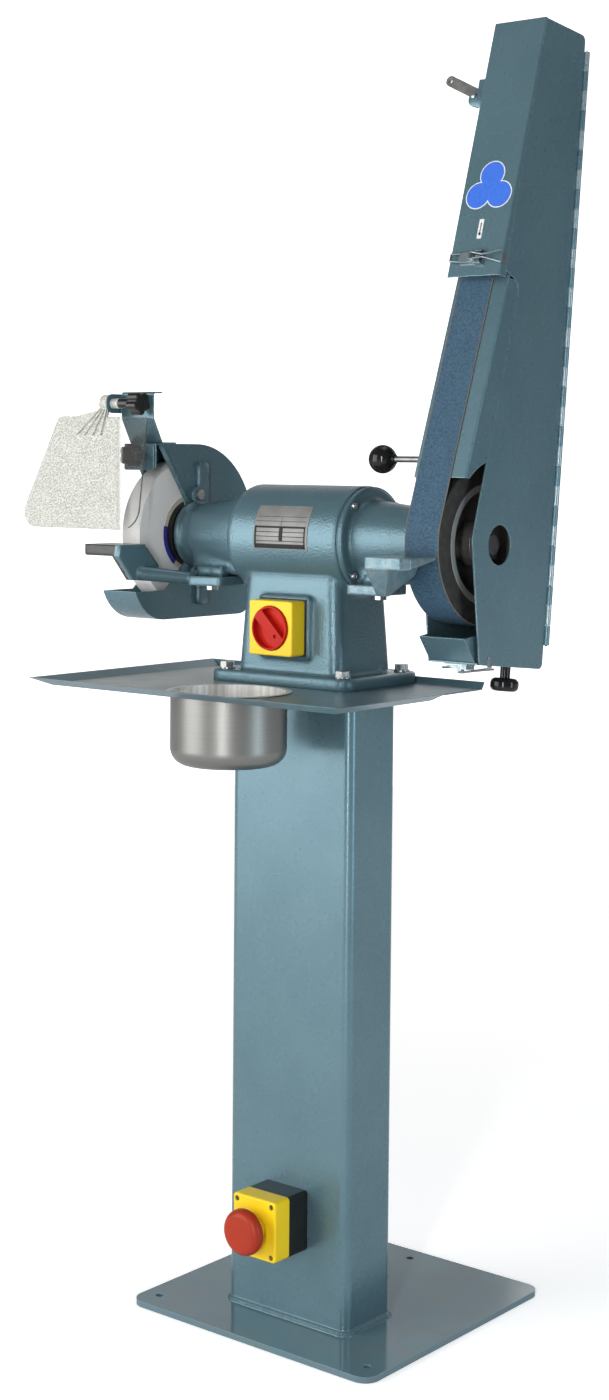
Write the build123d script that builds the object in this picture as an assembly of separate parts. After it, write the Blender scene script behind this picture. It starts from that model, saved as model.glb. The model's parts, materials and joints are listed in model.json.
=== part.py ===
from build123d import *
import math
import os

os.makedirs("parts", exist_ok=True)

# Clearances
running_gap = 0.05
moving_gap = 0.4
seat_gap = 0.3

# Base plate and column
base_size = 400
base_thick = 8
base_corner = 22
anchor_hole = 11
anchor_side_edge = 25
anchor_front_edge = 33
anchor_back_edge = 29
column_y = -63
column_width = 200
column_depth = 100
column_wall = 4
column_corner = 12.5
column_height = 831
weld_size = 6
top_plate_thick = 8

# Drip tray and water pot
tray_sheet = 2
tray_half_width = 232
tray_front = -320
tray_back = 20
tray_border = 22
tray_back_border = 6
tray_rise = 8
tray_notch = -126
tray_notch_side = 210
tray_notch_round = 12
pot_y = -238
pot_diameter = 148
pot_rim = 160
pot_depth = 92
pot_wall = 1.5
pot_round = 22
pot_slack = 1

# Motor casting
shaft_height = 190
foot_width = 228
foot_depth = 165
foot_thick = 16
foot_corner = 18
foot_bolt_x = 96
foot_bolt_y = 64
foot_bolt = 10
foot_bolt_flat = 8.5
foot_bolt_head = 7
foot_washer = 10.5
foot_washer_thick = 2
foot_nut = 8
foot_bolt_tail = 14
foot_edge_round = 4
pedestal_width = 170
pedestal_depth = 122
pedestal_top_width = 154
pedestal_top_depth = 110
pedestal_corner = 16
motor_radius = 70
motor_left = -100
motor_right = 86
motor_bore = 60
shoulder_round = 12
neck_root = 54
neck_tip = 43
neck_end = -188
nose_radius = 41
nose_flange = 45
guard_face = -210
nose_flange_thick = 7
mount_arm_reach = 98.5
mount_arm_width = 21
mount_arm_y = 10.5
mount_ear = 11
guard_bolt_reach = 54
guard_bolt_y = -1
end_ring_thick = 9
bell_root = 53
bell_tip = 42
bell_end = 190
bell_wall = 8
end_screw_ring = 63
end_screw_head = 4.25
end_screw_head_rise = 5
end_screw_length = 20

# Shaft, bearings and windings
shaft_radius = 12.5
shaft_core = 18
bearing_outer = 26
bearing_width = 15
bearing_place = 186
nose_hole = 16
rotor_radius = 38
air_gap = 0.5
stack_left = -58
stack_right = 52

# Grinding wheel and its clamps
wheel_diameter = 200
wheel_width = 32
wheel_face = -222.5
wheel_bore = 16
blotter_diameter = 104
blotter_thick = 1
flange_radius = 45.5
flange_thick = 8.5
outer_flange_thick = 6
wheel_nut_across = 30
wheel_nut_thick = 10

# Wheel guard
guard_sheet = 2
guard_radius = 123.5
guard_set_back = 2.5
guard_left = -268
guard_bottom = 116
guard_rear_corner = 32
guard_scoop = 62
guard_lip_forward = 121
guard_lip_rise = 40
guard_top_forward = 82
guard_front_drop = 32
cover_dish = 14
cover_dish_radius = 62
plate_waist = 22
guard_hole = 30
plate_slope_rise = 46
plate_lip = 5
cover_screw_inset = 11
cover_screw_head = 5
cover_screw_rise = 4
guard_bolt = 4
guard_bolt_head = 7
guard_bolt_rise = 5

# Spark deflector and eye shield
deflector_height = 34
deflector_travel = 12
knob_radius = 16
knob_lobes = 5
knob_depth = 17
stud_radius = 4
bracket_lean = 18
bracket_low = 34
bracket_high = 36
bracket_flange = 17
shield_axis_forward = 18
shield_axis_drop = 16
shield_boss = 12
shield_boss_left = -283
shield_boss_right = -270.4
shield_knob_right = -214
shield_top_left = -362
shield_top_right = -197
shield_low_left = -402
shield_low_right = -178
shield_length = 157
shield_lean = 14.7
shield_thick = 3
shield_drop = 18
shield_corner = 26
rib_count = 4

# Tool rests
rest_gap = 3
rest_top_drop = 12
rest_thick = 15
left_table_outer = 272
left_table_inner = 207
left_table_depth = 54
right_table_outer = 265
right_table_inner = 204
right_table_depth = 63
right_table_chamfer = 10
rest_arm_drop = 60
rest_arm_root = 10
rest_arm_tip = 7.5
rest_web_thick = 13
rest_web_low = 60
rest_web_round = 4
rest_lug_x = 140
rest_lug_inner = 104
rest_lug_outer = 162
rest_lug_y = -44
rest_lug_length = 56
rest_lug_thick = 12
rest_travel = 12
rest_bolt = 8
rest_bolt_flat = 7
rest_bolt_head = 6.5
pad_half_width = 22
gusset_far = 179
gusset_near = 99.5
gusset_half = 39
gusset_far_drop = 42.5
gusset_near_drop = 52

# Main switch
switch_pad_width = 83
switch_pad_height = 82
switch_size = 71
switch_rise = 76
switch_pad_face = 65
switch_depth = 28
switch_knob_radius = 28.5
switch_knob_depth = 14
switch_recess = 11
switch_knob_rim = 2.5
switch_pocket = 9
switch_grip_width = 15
switch_stem = 5
switch_stem_length = 10

# Emergency stop
stop_width = 71
stop_height = 80
stop_z = 146
stop_base_depth = 38
stop_cover_depth = 29
stop_collar = 18
stop_collar_depth = 10
stop_stem = 9
stop_button = 30
stop_button_depth = 15
stop_travel = 5

# Belt arm
arm_lean = 6
wall_left = 212
door_face = 288
arm_sheet = 2
arm_back = 118.5
arm_head = 79.2
arm_bottom = -149.5
arm_front_low = -25.7
arm_apex_a = -60.2
arm_apex_b = 2
step_a = 5
step_b = 325
step_front_a = -30
step_front_b = 338
cover_low_a = -44
cover_low_b = 329
cover_top_a = 23
door_gap = 1
door_hole = 50

# Belt and its wheels
belt_width = 50
belt_thick = 1
belt_left = 216.5
belt_angle = 7.2
belt_centres = 592
contact_diameter = 200
tyre_thick = 25
rim_thick = 9
web_thick = 12
contact_boss = 28
contact_nut_across = 36
contact_nut_thick = 10
idler_diameter = 60
idler_width = 38
idler_slack = 1.2
idler_axle = 6
idler_bearing = 14
idler_bearing_width = 9
platen_sheet = 2.5
platen_low = 75
platen_cut = 107
platen_lap = 14

# Idler carriage
yoke_sheet = 3
yoke_side_gap = 1.3
yoke_half = 8
yoke_drop = 46
yoke_bridge = 12
yoke_pin = 4
bar_width = 20
bar_thick = 8
clevis_sheet = 4.6
clevis_half = 10
clevis_depth = 14
yoke_room = 5
bar_tail = 13
guide_high = 448
guide_low = 258
guide_length = 16
guide_half = 18
spring_outer = 17
spring_inner = 13.5
spring_length = 84
collar_thick = 6
collar_reach = 9

# Tension lever
lever_p = -15
lever_q = 130
crank = 16
crank_angle = 25
crank_pin = 4
lever_sheet = 6
lever_boss = 12
lever_pin = 6
rod_p = -60
rod_q = 93.7
rod_radius = 4
rod_boss = 7
ball_radius = 18.25
ball_x = 136

# Tracking lever
track_p = -28
track_sheet = 5
track_x = 206
track_drop = 4
track_width = 10
track_pin = 3
track_grip = 7
track_grip_hole = 3
track_elbow = 180
track_elbow_drop = 4
track_end = 130.5
track_rise = 21
track_bracket_left = 177
track_bracket_top = 189
track_bracket_high = 16.5
track_bracket_low = 21
track_bracket_sheet = 4

# Piano hinge
knuckle_radius = 4
knuckle_count = 30
hinge_top_gap = 20.5
knuckle_gap = 0.5
hinge_leaf = 1.5
hinge_leaf_width = 22
hinge_low = -119
hinge_pin_radius = 1.5

# Latches
latch_axis_x = 256
latch_axis_w = 4
latch_half = 9
latch_sheet = 1.5
latch_wire = 1.25
latch_pin = 1.5
latch_tail = 28
latch_nose = 6
latch_ear = 2
latch_ear_half = 5
latch_ear_rise = 3
front_latch_b = 352
front_latch_reach = 40
bottom_latch_a = -5
bottom_latch_reach = 33
loop_low = 4.5
loop_waist = 1.7
loop_waist_x = 17
loop_high = 8
loop_set_back = 9
loop_rise = 7
catch_reach = 11
catch_sheet = 1.2

# Spark chute and bottom knob
chute_lip_a = -52
chute_lip_b = -119
chute_right = 281
chute_depth = 60
bottom_knob_a = 78
bottom_knob_x = 259
bottom_knob_radius = 18
bottom_knob_head = 17
bottom_knob_round = 6.5
bottom_knob_sleeve = 14

# Heights and planes that follow
column_top = base_thick + column_height
top_plate_top = column_top + top_plate_thick
tray_z = top_plate_top + tray_sheet
shaft_y = column_y
shaft_z = tray_z + shaft_height
wheel_radius = wheel_diameter / 2
wheel_back = wheel_face - wheel_width
foot_top = tray_z + foot_thick
wall_inner = wall_left + arm_sheet
door_inner = door_face - arm_sheet
belt_right = belt_left + belt_width
belt_middle = (belt_left + belt_right) / 2
contact_radius = contact_diameter / 2
idler_radius = idler_diameter / 2
guard_top_z = shaft_z + guard_radius
guard_right = guard_face
guard_plate = guard_face - guard_sheet
along_x = (1, 0, 0)
anchor_x = base_size / 2 - anchor_side_edge
anchor_front = anchor_front_edge - base_size / 2
anchor_back = base_size / 2 - anchor_back_edge
arm_top = belt_centres * math.cos(math.radians(belt_angle)) + arm_head
track_q = belt_centres - track_drop
knuckle_pitch = (arm_top - hinge_top_gap - hinge_low) / knuckle_count


def box(x0, x1, y0, y1, z0, z1):
    return Pos((x0 + x1) / 2, (y0 + y1) / 2, (z0 + z1) / 2) * Box(x1 - x0, y1 - y0, z1 - z0)


def rod_x(radius, x0, x1, y, z):
    return Pos((x0 + x1) / 2, y, z) * Rot(0, 90, 0) * Cylinder(radius, x1 - x0)


def rod_y(radius, y0, y1, x, z):
    return Pos(x, (y0 + y1) / 2, z) * Rot(90, 0, 0) * Cylinder(radius, y1 - y0)


def rod_z(radius, z0, z1, x, y):
    return Pos(x, y, (z0 + z1) / 2) * Cylinder(radius, z1 - z0)


def rod_between(radius, start, end):
    start = Vector(*start)
    end = Vector(*end)
    place = Plane(origin=(start + end) * 0.5, z_dir=end - start)
    return place * Cylinder(radius, (end - start).length)


def tapered_between(start_radius, end_radius, start, end):
    start = Vector(*start)
    end = Vector(*end)
    place = Plane(origin=(start + end) * 0.5, z_dir=end - start)
    return place * Cone(start_radius, end_radius, (end - start).length)


def turned(points):
    """Body of revolution round the shaft line from (x, radius) points."""
    profile = Plane.XZ * Polygon(*points, align=None)
    return Pos(0, shaft_y, shaft_z) * revolve(profile, axis=Axis.X)


def hexagon_x(across, x0, x1):
    profile = Plane.YZ.offset(x0) * RegularPolygon(across / 2, 6, major_radius=False)
    return Pos(0, shaft_y, shaft_z) * extrude(profile, amount=x1 - x0)


def slab_x(sketch, x0, x1):
    """Extrude a (y, z) sketch about the shaft line along X."""
    place = Plane((x0, shaft_y, shaft_z), x_dir=(0, 1, 0), z_dir=(1, 0, 0))
    return extrude(place * sketch, amount=x1 - x0, dir=along_x)


def leaning_plane(x, lean):
    angle = math.radians(lean)
    side = (0, math.cos(angle), -math.sin(angle))
    return Plane(origin=(x, shaft_y, shaft_z), x_dir=side, z_dir=(1, 0, 0))


def arm_slab(sketch, x0, x1):
    """Extrude a sketch in the arm's own (a, b) axes along X."""
    return extrude(leaning_plane(x0, arm_lean) * sketch, amount=x1 - x0, dir=along_x)


def arm_box(x0, x1, a0, a1, b0, b1):
    return arm_slab(Pos((a0 + a1) / 2, (b0 + b1) / 2) * Rectangle(a1 - a0, b1 - b0), x0, x1)


def line_slab(sketch, x0, x1):
    """Extrude a sketch in the (p, q) axes of the line between the belt's wheels along X."""
    return extrude(leaning_plane(x0, arm_lean + belt_angle) * sketch, amount=x1 - x0, dir=along_x)


def line_box(x0, x1, p0, p1, q0, q1):
    return line_slab(Pos((p0 + p1) / 2, (q0 + q1) / 2) * Rectangle(p1 - p0, q1 - q0), x0, x1)


def line_disc(radius, x0, x1, p, q):
    return line_slab(Pos(p, q) * Circle(radius), x0, x1)


def line_cross(radius, p0, p1, x, q):
    """Round pin along p, across the line between the belt's wheels."""
    place = leaning_plane(x, arm_lean + belt_angle)
    start = place.from_local_coords((p0, q, 0))
    end = place.from_local_coords((p1, q, 0))
    return rod_between(radius, start, end)


def star_knob(radius, depth, lobes):
    """Star grip with its axis on Z and its back face at the origin."""
    lobe = radius * 0.36
    outline = Circle(radius * 0.78)
    for turn in range(lobes):
        outline += PolarLocations(radius - lobe, 1, turn * 360 / lobes) * Circle(lobe)
    grip = extrude(outline, amount=depth)
    return fillet(grip.faces().sort_by(Axis.Z)[-1].edges(), radius * 0.1)


# Stand
def base_plate():
    plate = extrude(RectangleRounded(base_size, base_size, base_corner), amount=base_thick)
    for x, y in ((-anchor_x, anchor_front), (anchor_x, anchor_front), (0, anchor_back)):
        plate -= rod_z(anchor_hole / 2, -1, base_thick + 1, x, y)
    return plate


def column():
    outer = RectangleRounded(column_width, column_depth, column_corner)
    inner_corner = column_corner - column_wall
    inner = RectangleRounded(column_width - 2 * column_wall, column_depth - 2 * column_wall, inner_corner)
    bead = RectangleRounded(column_width + 2 * weld_size, column_depth + 2 * weld_size,
                            column_corner + weld_size)
    tube = extrude(outer, amount=column_height) + extrude(bead, amount=weld_size, taper=45)
    tube -= extrude(inner, amount=column_height)
    return Pos(0, column_y, base_thick) * tube


def foot_bolt_places():
    return [(x, column_y + y) for x in (-foot_bolt_x, foot_bolt_x) for y in (-foot_bolt_y, foot_bolt_y)]


def top_plate():
    plate = extrude(RectangleRounded(foot_width, foot_depth, foot_corner), amount=top_plate_thick)
    plate = Pos(0, column_y, column_top) * plate
    for x, y in foot_bolt_places():
        plate -= rod_z(foot_bolt / 2 + moving_gap, column_top - 1, top_plate_top + 1, x, y)
    return plate


def tray_block(lift):
    depth = tray_back - tray_front
    middle = (tray_back + tray_front) / 2
    rim_depth = depth + tray_border + tray_back_border
    rim_middle = middle + (tray_back_border - tray_border) / 2
    floor = Pos(0, middle, top_plate_top + lift) * Rectangle(2 * tray_half_width, depth)
    rim_z = top_plate_top + lift + tray_rise + tray_sheet
    rim = Pos(0, rim_middle, rim_z) * Rectangle(2 * (tray_half_width + tray_border), rim_depth)
    return loft([floor, rim])


def drip_tray():
    tray = tray_block(0) - tray_block(tray_sheet)
    reach = tray_half_width + tray_border
    high = tray_z + 2 * tray_rise
    notch_back = tray_back + 2 * tray_border
    notch = box(tray_notch_side, reach + 2 * tray_notch_round, tray_notch, notch_back, column_top, high)
    tray -= fillet(notch.edges().filter_by(Axis.Z), tray_notch_round)
    tray -= rod_z(pot_diameter / 2 + pot_slack, column_top, high, 0, pot_y)
    for x, y in foot_bolt_places():
        tray -= rod_z(foot_bolt / 2 + moving_gap, column_top, high, x, y)
    return tray


def water_pot():
    radius = pot_diameter / 2
    full = Pos(0, 0, -pot_depth / 2) * Cylinder(radius, pot_depth)
    full = fillet(full.edges().sort_by(Axis.Z)[0], pot_round)
    full += Pos(0, 0, pot_wall / 2) * Cylinder(pot_rim / 2, pot_wall)
    inside = Pos(0, 0, pot_wall - pot_depth / 2) * Cylinder(radius - pot_wall, pot_depth)
    inside = fillet(inside.edges().sort_by(Axis.Z)[0], pot_round - pot_wall)
    return Pos(0, pot_y, tray_z) * (full - inside)


# Motor
def rest_pad(side):
    """Gusset under a neck with the flat pad that carries one tool rest."""
    front = shaft_y - gusset_half
    profile = Polygon((side * gusset_far, shaft_z - gusset_far_drop),
                      (side * gusset_near, shaft_z - gusset_near_drop),
                      (side * gusset_near, shaft_z - rest_top_drop),
                      (side * gusset_far, shaft_z - rest_top_drop), align=None)
    gusset = extrude(Plane.XZ.offset(-front) * profile, amount=2 * gusset_half, dir=(0, 1, 0))
    low = shaft_z - rest_arm_drop + rest_lug_thick / 2
    middle = side * rest_lug_x
    return gusset + box(middle - pad_half_width, middle + pad_half_width,
                        shaft_y + rest_lug_y - rest_bolt_flat,
                        shaft_y, low, shaft_z - gusset_far_drop + 1)


def rest_bolt_hole(side):
    low = shaft_z - rest_arm_drop
    return rod_z(rest_bolt / 2 + seat_gap, low, low + 2 * rest_bolt, side * rest_lug_x, shaft_y + rest_lug_y)


def motor_housing():
    body = turned([
        (guard_face, 0), (guard_face, nose_flange), (guard_face + nose_flange_thick, nose_flange),
        (guard_face + nose_flange_thick, nose_radius), (neck_end, nose_radius), (neck_end, neck_tip),
        (motor_left, neck_root), (motor_left, motor_radius), (motor_right, motor_radius), (motor_right, 0)])
    shoulder = [e for e in body.edges() if abs(e.center(CenterOf.BOUNDING_BOX).X - motor_left) < 1]
    shoulder = [e for e in shoulder if e.length > 2 * math.pi * (motor_radius - 1)]
    body = fillet(shoulder, shoulder_round)
    foot = Pos(0, shaft_y, tray_z) * extrude(RectangleRounded(foot_width, foot_depth, foot_corner),
                                             amount=foot_thick)
    foot = fillet(foot.faces().sort_by(Axis.Z)[-1].edges(), foot_edge_round)
    low = Pos(0, shaft_y, foot_top - 2) * RectangleRounded(pedestal_width, pedestal_depth, pedestal_corner)
    high = Pos(0, shaft_y, shaft_z - motor_bore + 12)
    high = high * RectangleRounded(pedestal_top_width, pedestal_top_depth, pedestal_corner)
    pad_z = tray_z + switch_rise
    pad = box(-switch_pad_width / 2, switch_pad_width / 2, shaft_y - switch_pad_face, shaft_y,
              pad_z - switch_pad_height / 2, pad_z + switch_pad_height / 2)
    pad = fillet(pad.edges().filter_by(Axis.Y), 5)
    arms = box(guard_face, guard_face + nose_flange_thick, shaft_y + mount_arm_y - mount_arm_width / 2,
               shaft_y + mount_arm_y + mount_arm_width / 2, shaft_z - mount_arm_reach,
               shaft_z + mount_arm_reach)
    arms = fillet(arms.edges().filter_by(Axis.X), mount_arm_width / 3)
    for y, z in guard_bolt_places():
        arms += rod_x(mount_ear, guard_face, guard_face + nose_flange_thick, y, z)
    body = body + foot + loft([low, high]) + pad + arms + rest_pad(-1)
    bore = [(motor_left + 12, 0), (motor_left + 12, motor_bore), (motor_right + 1, motor_bore),
            (motor_right + 1, 0)]
    body -= turned(bore)
    seat = -bearing_place
    neck = [(guard_face - 1, 0), (guard_face - 1, nose_hole), (seat, nose_hole), (seat, bearing_outer)]
    neck += [(seat + bearing_width, bearing_outer), (seat + bearing_width, bearing_outer + 2)]
    neck += [(motor_left + 13, bearing_outer + 2), (motor_left + 13, 0)]
    body -= turned(neck)
    for x, y in foot_bolt_places():
        body -= rod_z(foot_bolt / 2 + moving_gap, tray_z - 1, foot_top + 1, x, y)
    for y, z in guard_bolt_places():
        body -= rod_x(guard_bolt + running_gap, guard_face - 1, guard_face + nose_flange_thick + 1, y, z)
    body -= rest_bolt_hole(-1)
    for y, z in end_screw_places():
        body -= rod_x(2.5 + running_gap, motor_right - 16, motor_right + 1, y, z)
    return body


def guard_bolt_places():
    return [(shaft_y + guard_bolt_y, shaft_z + side * guard_bolt_reach) for side in (-1, 1)]


def end_screw_places():
    places = []
    for turn in range(4):
        angle = math.radians(45 + 90 * turn)
        places.append((shaft_y + end_screw_ring * math.cos(angle),
                       shaft_z + end_screw_ring * math.sin(angle)))
    return places


def end_bell():
    ring_end = motor_right + end_ring_thick
    body = turned([
        (motor_right - 6, 0), (motor_right - 6, motor_bore - running_gap),
        (motor_right, motor_bore - running_gap),
        (motor_right, motor_radius - 1), (ring_end, motor_radius - 1), (ring_end, bell_root),
        (bell_end, bell_tip),
        (bell_end, nose_flange), (wall_left, nose_flange), (wall_left, 0)])
    body += rest_pad(1)
    hollow = [(motor_right - 7, 0), (motor_right - 7, bell_root - bell_wall),
              (ring_end, bell_root - bell_wall)]
    hollow += [(bearing_place - bearing_width, bearing_outer + 4),
               (bearing_place - bearing_width, bearing_outer)]
    hollow += [(bearing_place, bearing_outer), (bearing_place, nose_hole), (wall_left + 1, nose_hole)]
    hollow += [(wall_left + 1, 0)]
    body -= turned(hollow)
    body -= rest_bolt_hole(1)
    for y, z in end_screw_places():
        body -= rod_x(2.5 + running_gap, motor_right - 1, ring_end + 1, y, z)
    return body


def end_bell_screws():
    screws = []
    head = motor_right + end_ring_thick
    for y, z in end_screw_places():
        screw = rod_x(end_screw_head, head, head + end_screw_head_rise, y, z)
        screw += rod_x(2.5, head - end_screw_length, head, y, z)
        socket = extrude(RegularPolygon(end_screw_head / 2, 6, major_radius=False),
                         amount=end_screw_head_rise)
        socket = Pos(head + end_screw_head_rise / 2, y, z) * Rot(0, 90, 0) * socket
        screws.append(screw - socket)
    return Compound(children=screws)


def foot_bolts():
    bolts = []
    hexagon = RegularPolygon(foot_bolt_flat, 6, major_radius=False)
    seat = foot_top + foot_washer_thick
    for x, y in foot_bolt_places():
        head = Pos(x, y, seat) * extrude(hexagon, amount=foot_bolt_head)
        washer = rod_z(foot_washer, foot_top, seat, x, y)
        shank = rod_z(foot_bolt / 2, column_top - foot_bolt_tail, foot_top + 1, x, y)
        nut = Pos(x, y, column_top - foot_nut) * extrude(hexagon, amount=foot_nut)
        bolts.append(head + washer + shank + nut)
    return Compound(children=bolts)


def stator():
    inner = rotor_radius + air_gap
    return turned([(stack_left, inner), (stack_left, motor_bore - running_gap),
                   (stack_right, motor_bore - running_gap), (stack_right, inner)])


def rotor():
    inner = shaft_core
    return turned([(stack_left, inner), (stack_left, rotor_radius), (stack_right, rotor_radius),
                   (stack_right, inner)])


def shaft():
    inner_end = bearing_place - bearing_width
    left_end = wheel_back - blotter_thick - outer_flange_thick - wheel_nut_thick - 2
    right_end = belt_right + contact_nut_thick + 2
    return turned([(left_end, 0), (left_end, shaft_radius), (-inner_end, shaft_radius),
                   (-inner_end, shaft_core),
                   (inner_end, shaft_core), (inner_end, shaft_radius), (right_end, shaft_radius),
                   (right_end, 0)])


def shaft_bearings():
    rings = []
    for low in (-bearing_place, bearing_place - bearing_width):
        high = low + bearing_width
        inner = shaft_radius + running_gap
        rings.append(turned([(low, inner), (low, bearing_outer - running_gap),
                             (high, bearing_outer - running_gap), (high, inner)]))
    return Compound(children=rings)


def switch_box():
    face = shaft_y - switch_pad_face
    z = tray_z + switch_rise
    half = switch_size / 2
    case = box(-half, half, face - switch_depth, face, z - half, z + half)
    case = fillet(case.edges().filter_by(Axis.Y), 4)
    case = fillet(case.faces().sort_by(Axis.Y)[0].edges(), 2)
    recess_floor = face - switch_depth + switch_recess
    case -= rod_y(switch_knob_radius + 2 * moving_gap, face - switch_depth - 1, recess_floor, 0, z)
    case -= rod_y(switch_stem + running_gap, recess_floor - 1, recess_floor + switch_stem_length + 2, 0, z)
    return case


def switch_knob():
    """Round knob with a rim and a slanting grip bar left between two pockets."""
    face = shaft_y - switch_pad_face - switch_depth + switch_recess - seat_gap
    z = tray_z + switch_rise
    front = face - switch_knob_depth
    floor = front + switch_pocket
    disc = rod_y(switch_knob_radius, front, face, 0, z)
    disc = fillet(disc.faces().sort_by(Axis.Y)[0].edges(), 1)
    pocket = rod_y(switch_knob_radius - switch_knob_rim, front - 1, floor, 0, z)
    bar = box(-switch_knob_radius, switch_knob_radius, front - 2, floor + 1, -switch_grip_width / 2,
              switch_grip_width / 2)
    tilt = Pos(0, 0, z) * Rot(0, 45, 0)
    disc -= pocket - tilt * bar
    disc -= tilt * rod_y(switch_stem / 2, front - 1, front + switch_pocket / 3, switch_knob_radius / 2, 0)
    return disc + rod_y(switch_stem, face - 1, face + switch_stem_length, 0, z)


# Grinding wheel side
def grinding_wheel():
    return turned([(wheel_back, wheel_bore), (wheel_back, wheel_radius), (wheel_face, wheel_radius),
                   (wheel_face, wheel_bore)])


def wheel_blotters():
    discs = []
    for low in (wheel_face, wheel_back - blotter_thick):
        high = low + blotter_thick
        edge = blotter_diameter / 2
        discs.append(turned([(low, wheel_bore), (low, edge), (high, edge), (high, wheel_bore)]))
    return Compound(children=discs)


def wheel_flanges():
    middle = (wheel_face + wheel_back) / 2
    hub = wheel_bore - running_gap
    near = wheel_face + blotter_thick
    far = wheel_back - blotter_thick
    inner = turned([(middle, shaft_radius), (middle, hub), (near, hub), (near, flange_radius),
                    (near + flange_thick, flange_radius), (near + flange_thick, shaft_radius)])
    outer = turned([(middle, shaft_radius), (middle, hub), (far, hub), (far, flange_radius),
                    (far - outer_flange_thick, flange_radius - 3), (far - outer_flange_thick, shaft_radius)])
    return Compound(children=[inner, outer])


def wheel_nut():
    high = wheel_back - blotter_thick - outer_flange_thick
    nut = hexagon_x(wheel_nut_across, high - wheel_nut_thick, high)
    return nut - rod_x(shaft_radius, high - wheel_nut_thick - 1, high + 1, shaft_y, shaft_z)


def guard_path(inset):
    """Guard outline from the lower lip round the back to the top front edge, moved in by the inset."""
    bend = guard_radius - inset
    rear = bend + guard_set_back
    low = inset - guard_bottom
    corner = guard_rear_corner - inset
    bend_y = rear - corner
    bend_z = low + corner
    scoop_start = (-guard_scoop, low)
    lip = (inset - guard_lip_forward, low + guard_lip_rise)
    scoop = TangentArc(scoop_start, lip, tangent=(-1, 0))
    floor = Line((bend_y, low), scoop_start)
    back_corner = CenterArc((bend_y, bend_z), corner, 270, 90)
    back = Line((rear, bend_z), (rear, 0))
    dome = CenterArc((guard_set_back, 0), bend, 0, 90)
    roof = Line((guard_set_back, bend), (-guard_top_forward, bend))
    return [scoop, floor, back_corner, back, dome, roof]


def guard_outline(inset):
    path = guard_path(inset)
    ends = Line(path[-1] @ 1, path[0] @ 1)
    return make_face(Curve() + path + ends)


def plate_cut():
    """Front of the guard's motor-side plate, cut away round the flange."""
    return Polygon((-guard_top_forward + 8, guard_radius + 1), (-plate_waist, plate_slope_rise),
                   (-plate_waist, -40),
                   (-guard_scoop, guard_lip_rise - guard_bottom),
                   (-guard_lip_forward - 20, guard_lip_rise - guard_bottom),
                   (-guard_lip_forward - 20, guard_radius + 1), align=None)


def wheel_guard():
    band = guard_outline(0) - guard_outline(guard_sheet)
    roof = guard_radius - guard_sheet
    lip = guard_lip_rise - guard_bottom
    mouth = Polygon((-guard_lip_forward, roof), (-guard_top_forward + 8, roof),
                    (-guard_lip_forward + 3 * guard_sheet, lip),
                    (-guard_lip_forward - guard_sheet, lip), align=None)
    band = band - mouth
    shell = slab_x(band, guard_left, guard_right)
    side = slab_x(guard_outline(0) - plate_cut(), guard_plate, guard_face)
    front = -guard_top_forward
    drop = Pos(front + guard_sheet / 2, guard_radius - guard_front_drop / 2) * Rectangle(guard_sheet,
                                                                                         guard_front_drop)
    edge_top = guard_radius - 2 * guard_sheet
    lip_shape = Polygon((-guard_top_forward + 8, edge_top), (guard_sheet - guard_top_forward + 8, edge_top),
                        (guard_sheet - plate_waist, plate_slope_rise), (-plate_waist, plate_slope_rise),
                        align=None)
    shell = shell + side + slab_x(drop, guard_left, guard_right) + slab_x(lip_shape, guard_plate,
                                                                          guard_face + plate_lip)
    shell -= rod_x(guard_hole, guard_plate - 1, guard_face + 1, shaft_y, shaft_z)
    for y, z in guard_bolt_places():
        shell -= rod_x(guard_bolt + running_gap, guard_plate - 1, guard_face + 1, y, z)
    shell -= rod_y(stud_radius + seat_gap, shaft_y + front - 1, shaft_y + front + 4, deflector_x(),
                   deflector_z())
    return shell


def deflector_x():
    return (guard_left + guard_right) / 2


def deflector_z():
    return guard_top_z - guard_front_drop / 2


def guard_cover():
    plate = slab_x(guard_outline(0) - plate_cut(), guard_left - guard_sheet, guard_left)
    plate -= rod_x(cover_dish_radius - 4, guard_left - guard_sheet - 1, guard_left + 1, shaft_y, shaft_z)
    dish = turned([(guard_left, cover_dish_radius), (guard_left, cover_dish_radius - 4 - guard_sheet),
                   (guard_left - cover_dish + guard_sheet, cover_dish_radius - 16),
                   (guard_left - cover_dish + guard_sheet, 0), (guard_left - cover_dish, 0),
                   (guard_left - cover_dish, cover_dish_radius - 14),
                   (guard_left - guard_sheet, cover_dish_radius - 2),
                   (guard_left - guard_sheet, cover_dish_radius)])
    return plate + dish


def cover_screw_places():
    reach = guard_radius - cover_screw_inset
    low = guard_bottom - cover_screw_inset
    return [(shaft_y + reach, shaft_z - reach / 3), (shaft_y + reach / 3, shaft_z + 0.93 * reach),
            (shaft_y + reach / 4, shaft_z - low)]


def guard_screws():
    screws = []
    cover = guard_left - guard_sheet
    for y, z in cover_screw_places():
        screws.append(rod_x(cover_screw_head, cover - cover_screw_rise, cover, y, z))
    face = guard_face + nose_flange_thick
    for y, z in guard_bolt_places():
        screws.append(rod_x(guard_bolt_head, face, face + guard_bolt_rise, y, z)
                      + rod_x(guard_bolt, guard_plate - guard_bolt_rise / 2, face, y, z))
    return Compound(children=screws)


def rest_back():
    return shaft_y - wheel_radius - rest_gap


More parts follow.
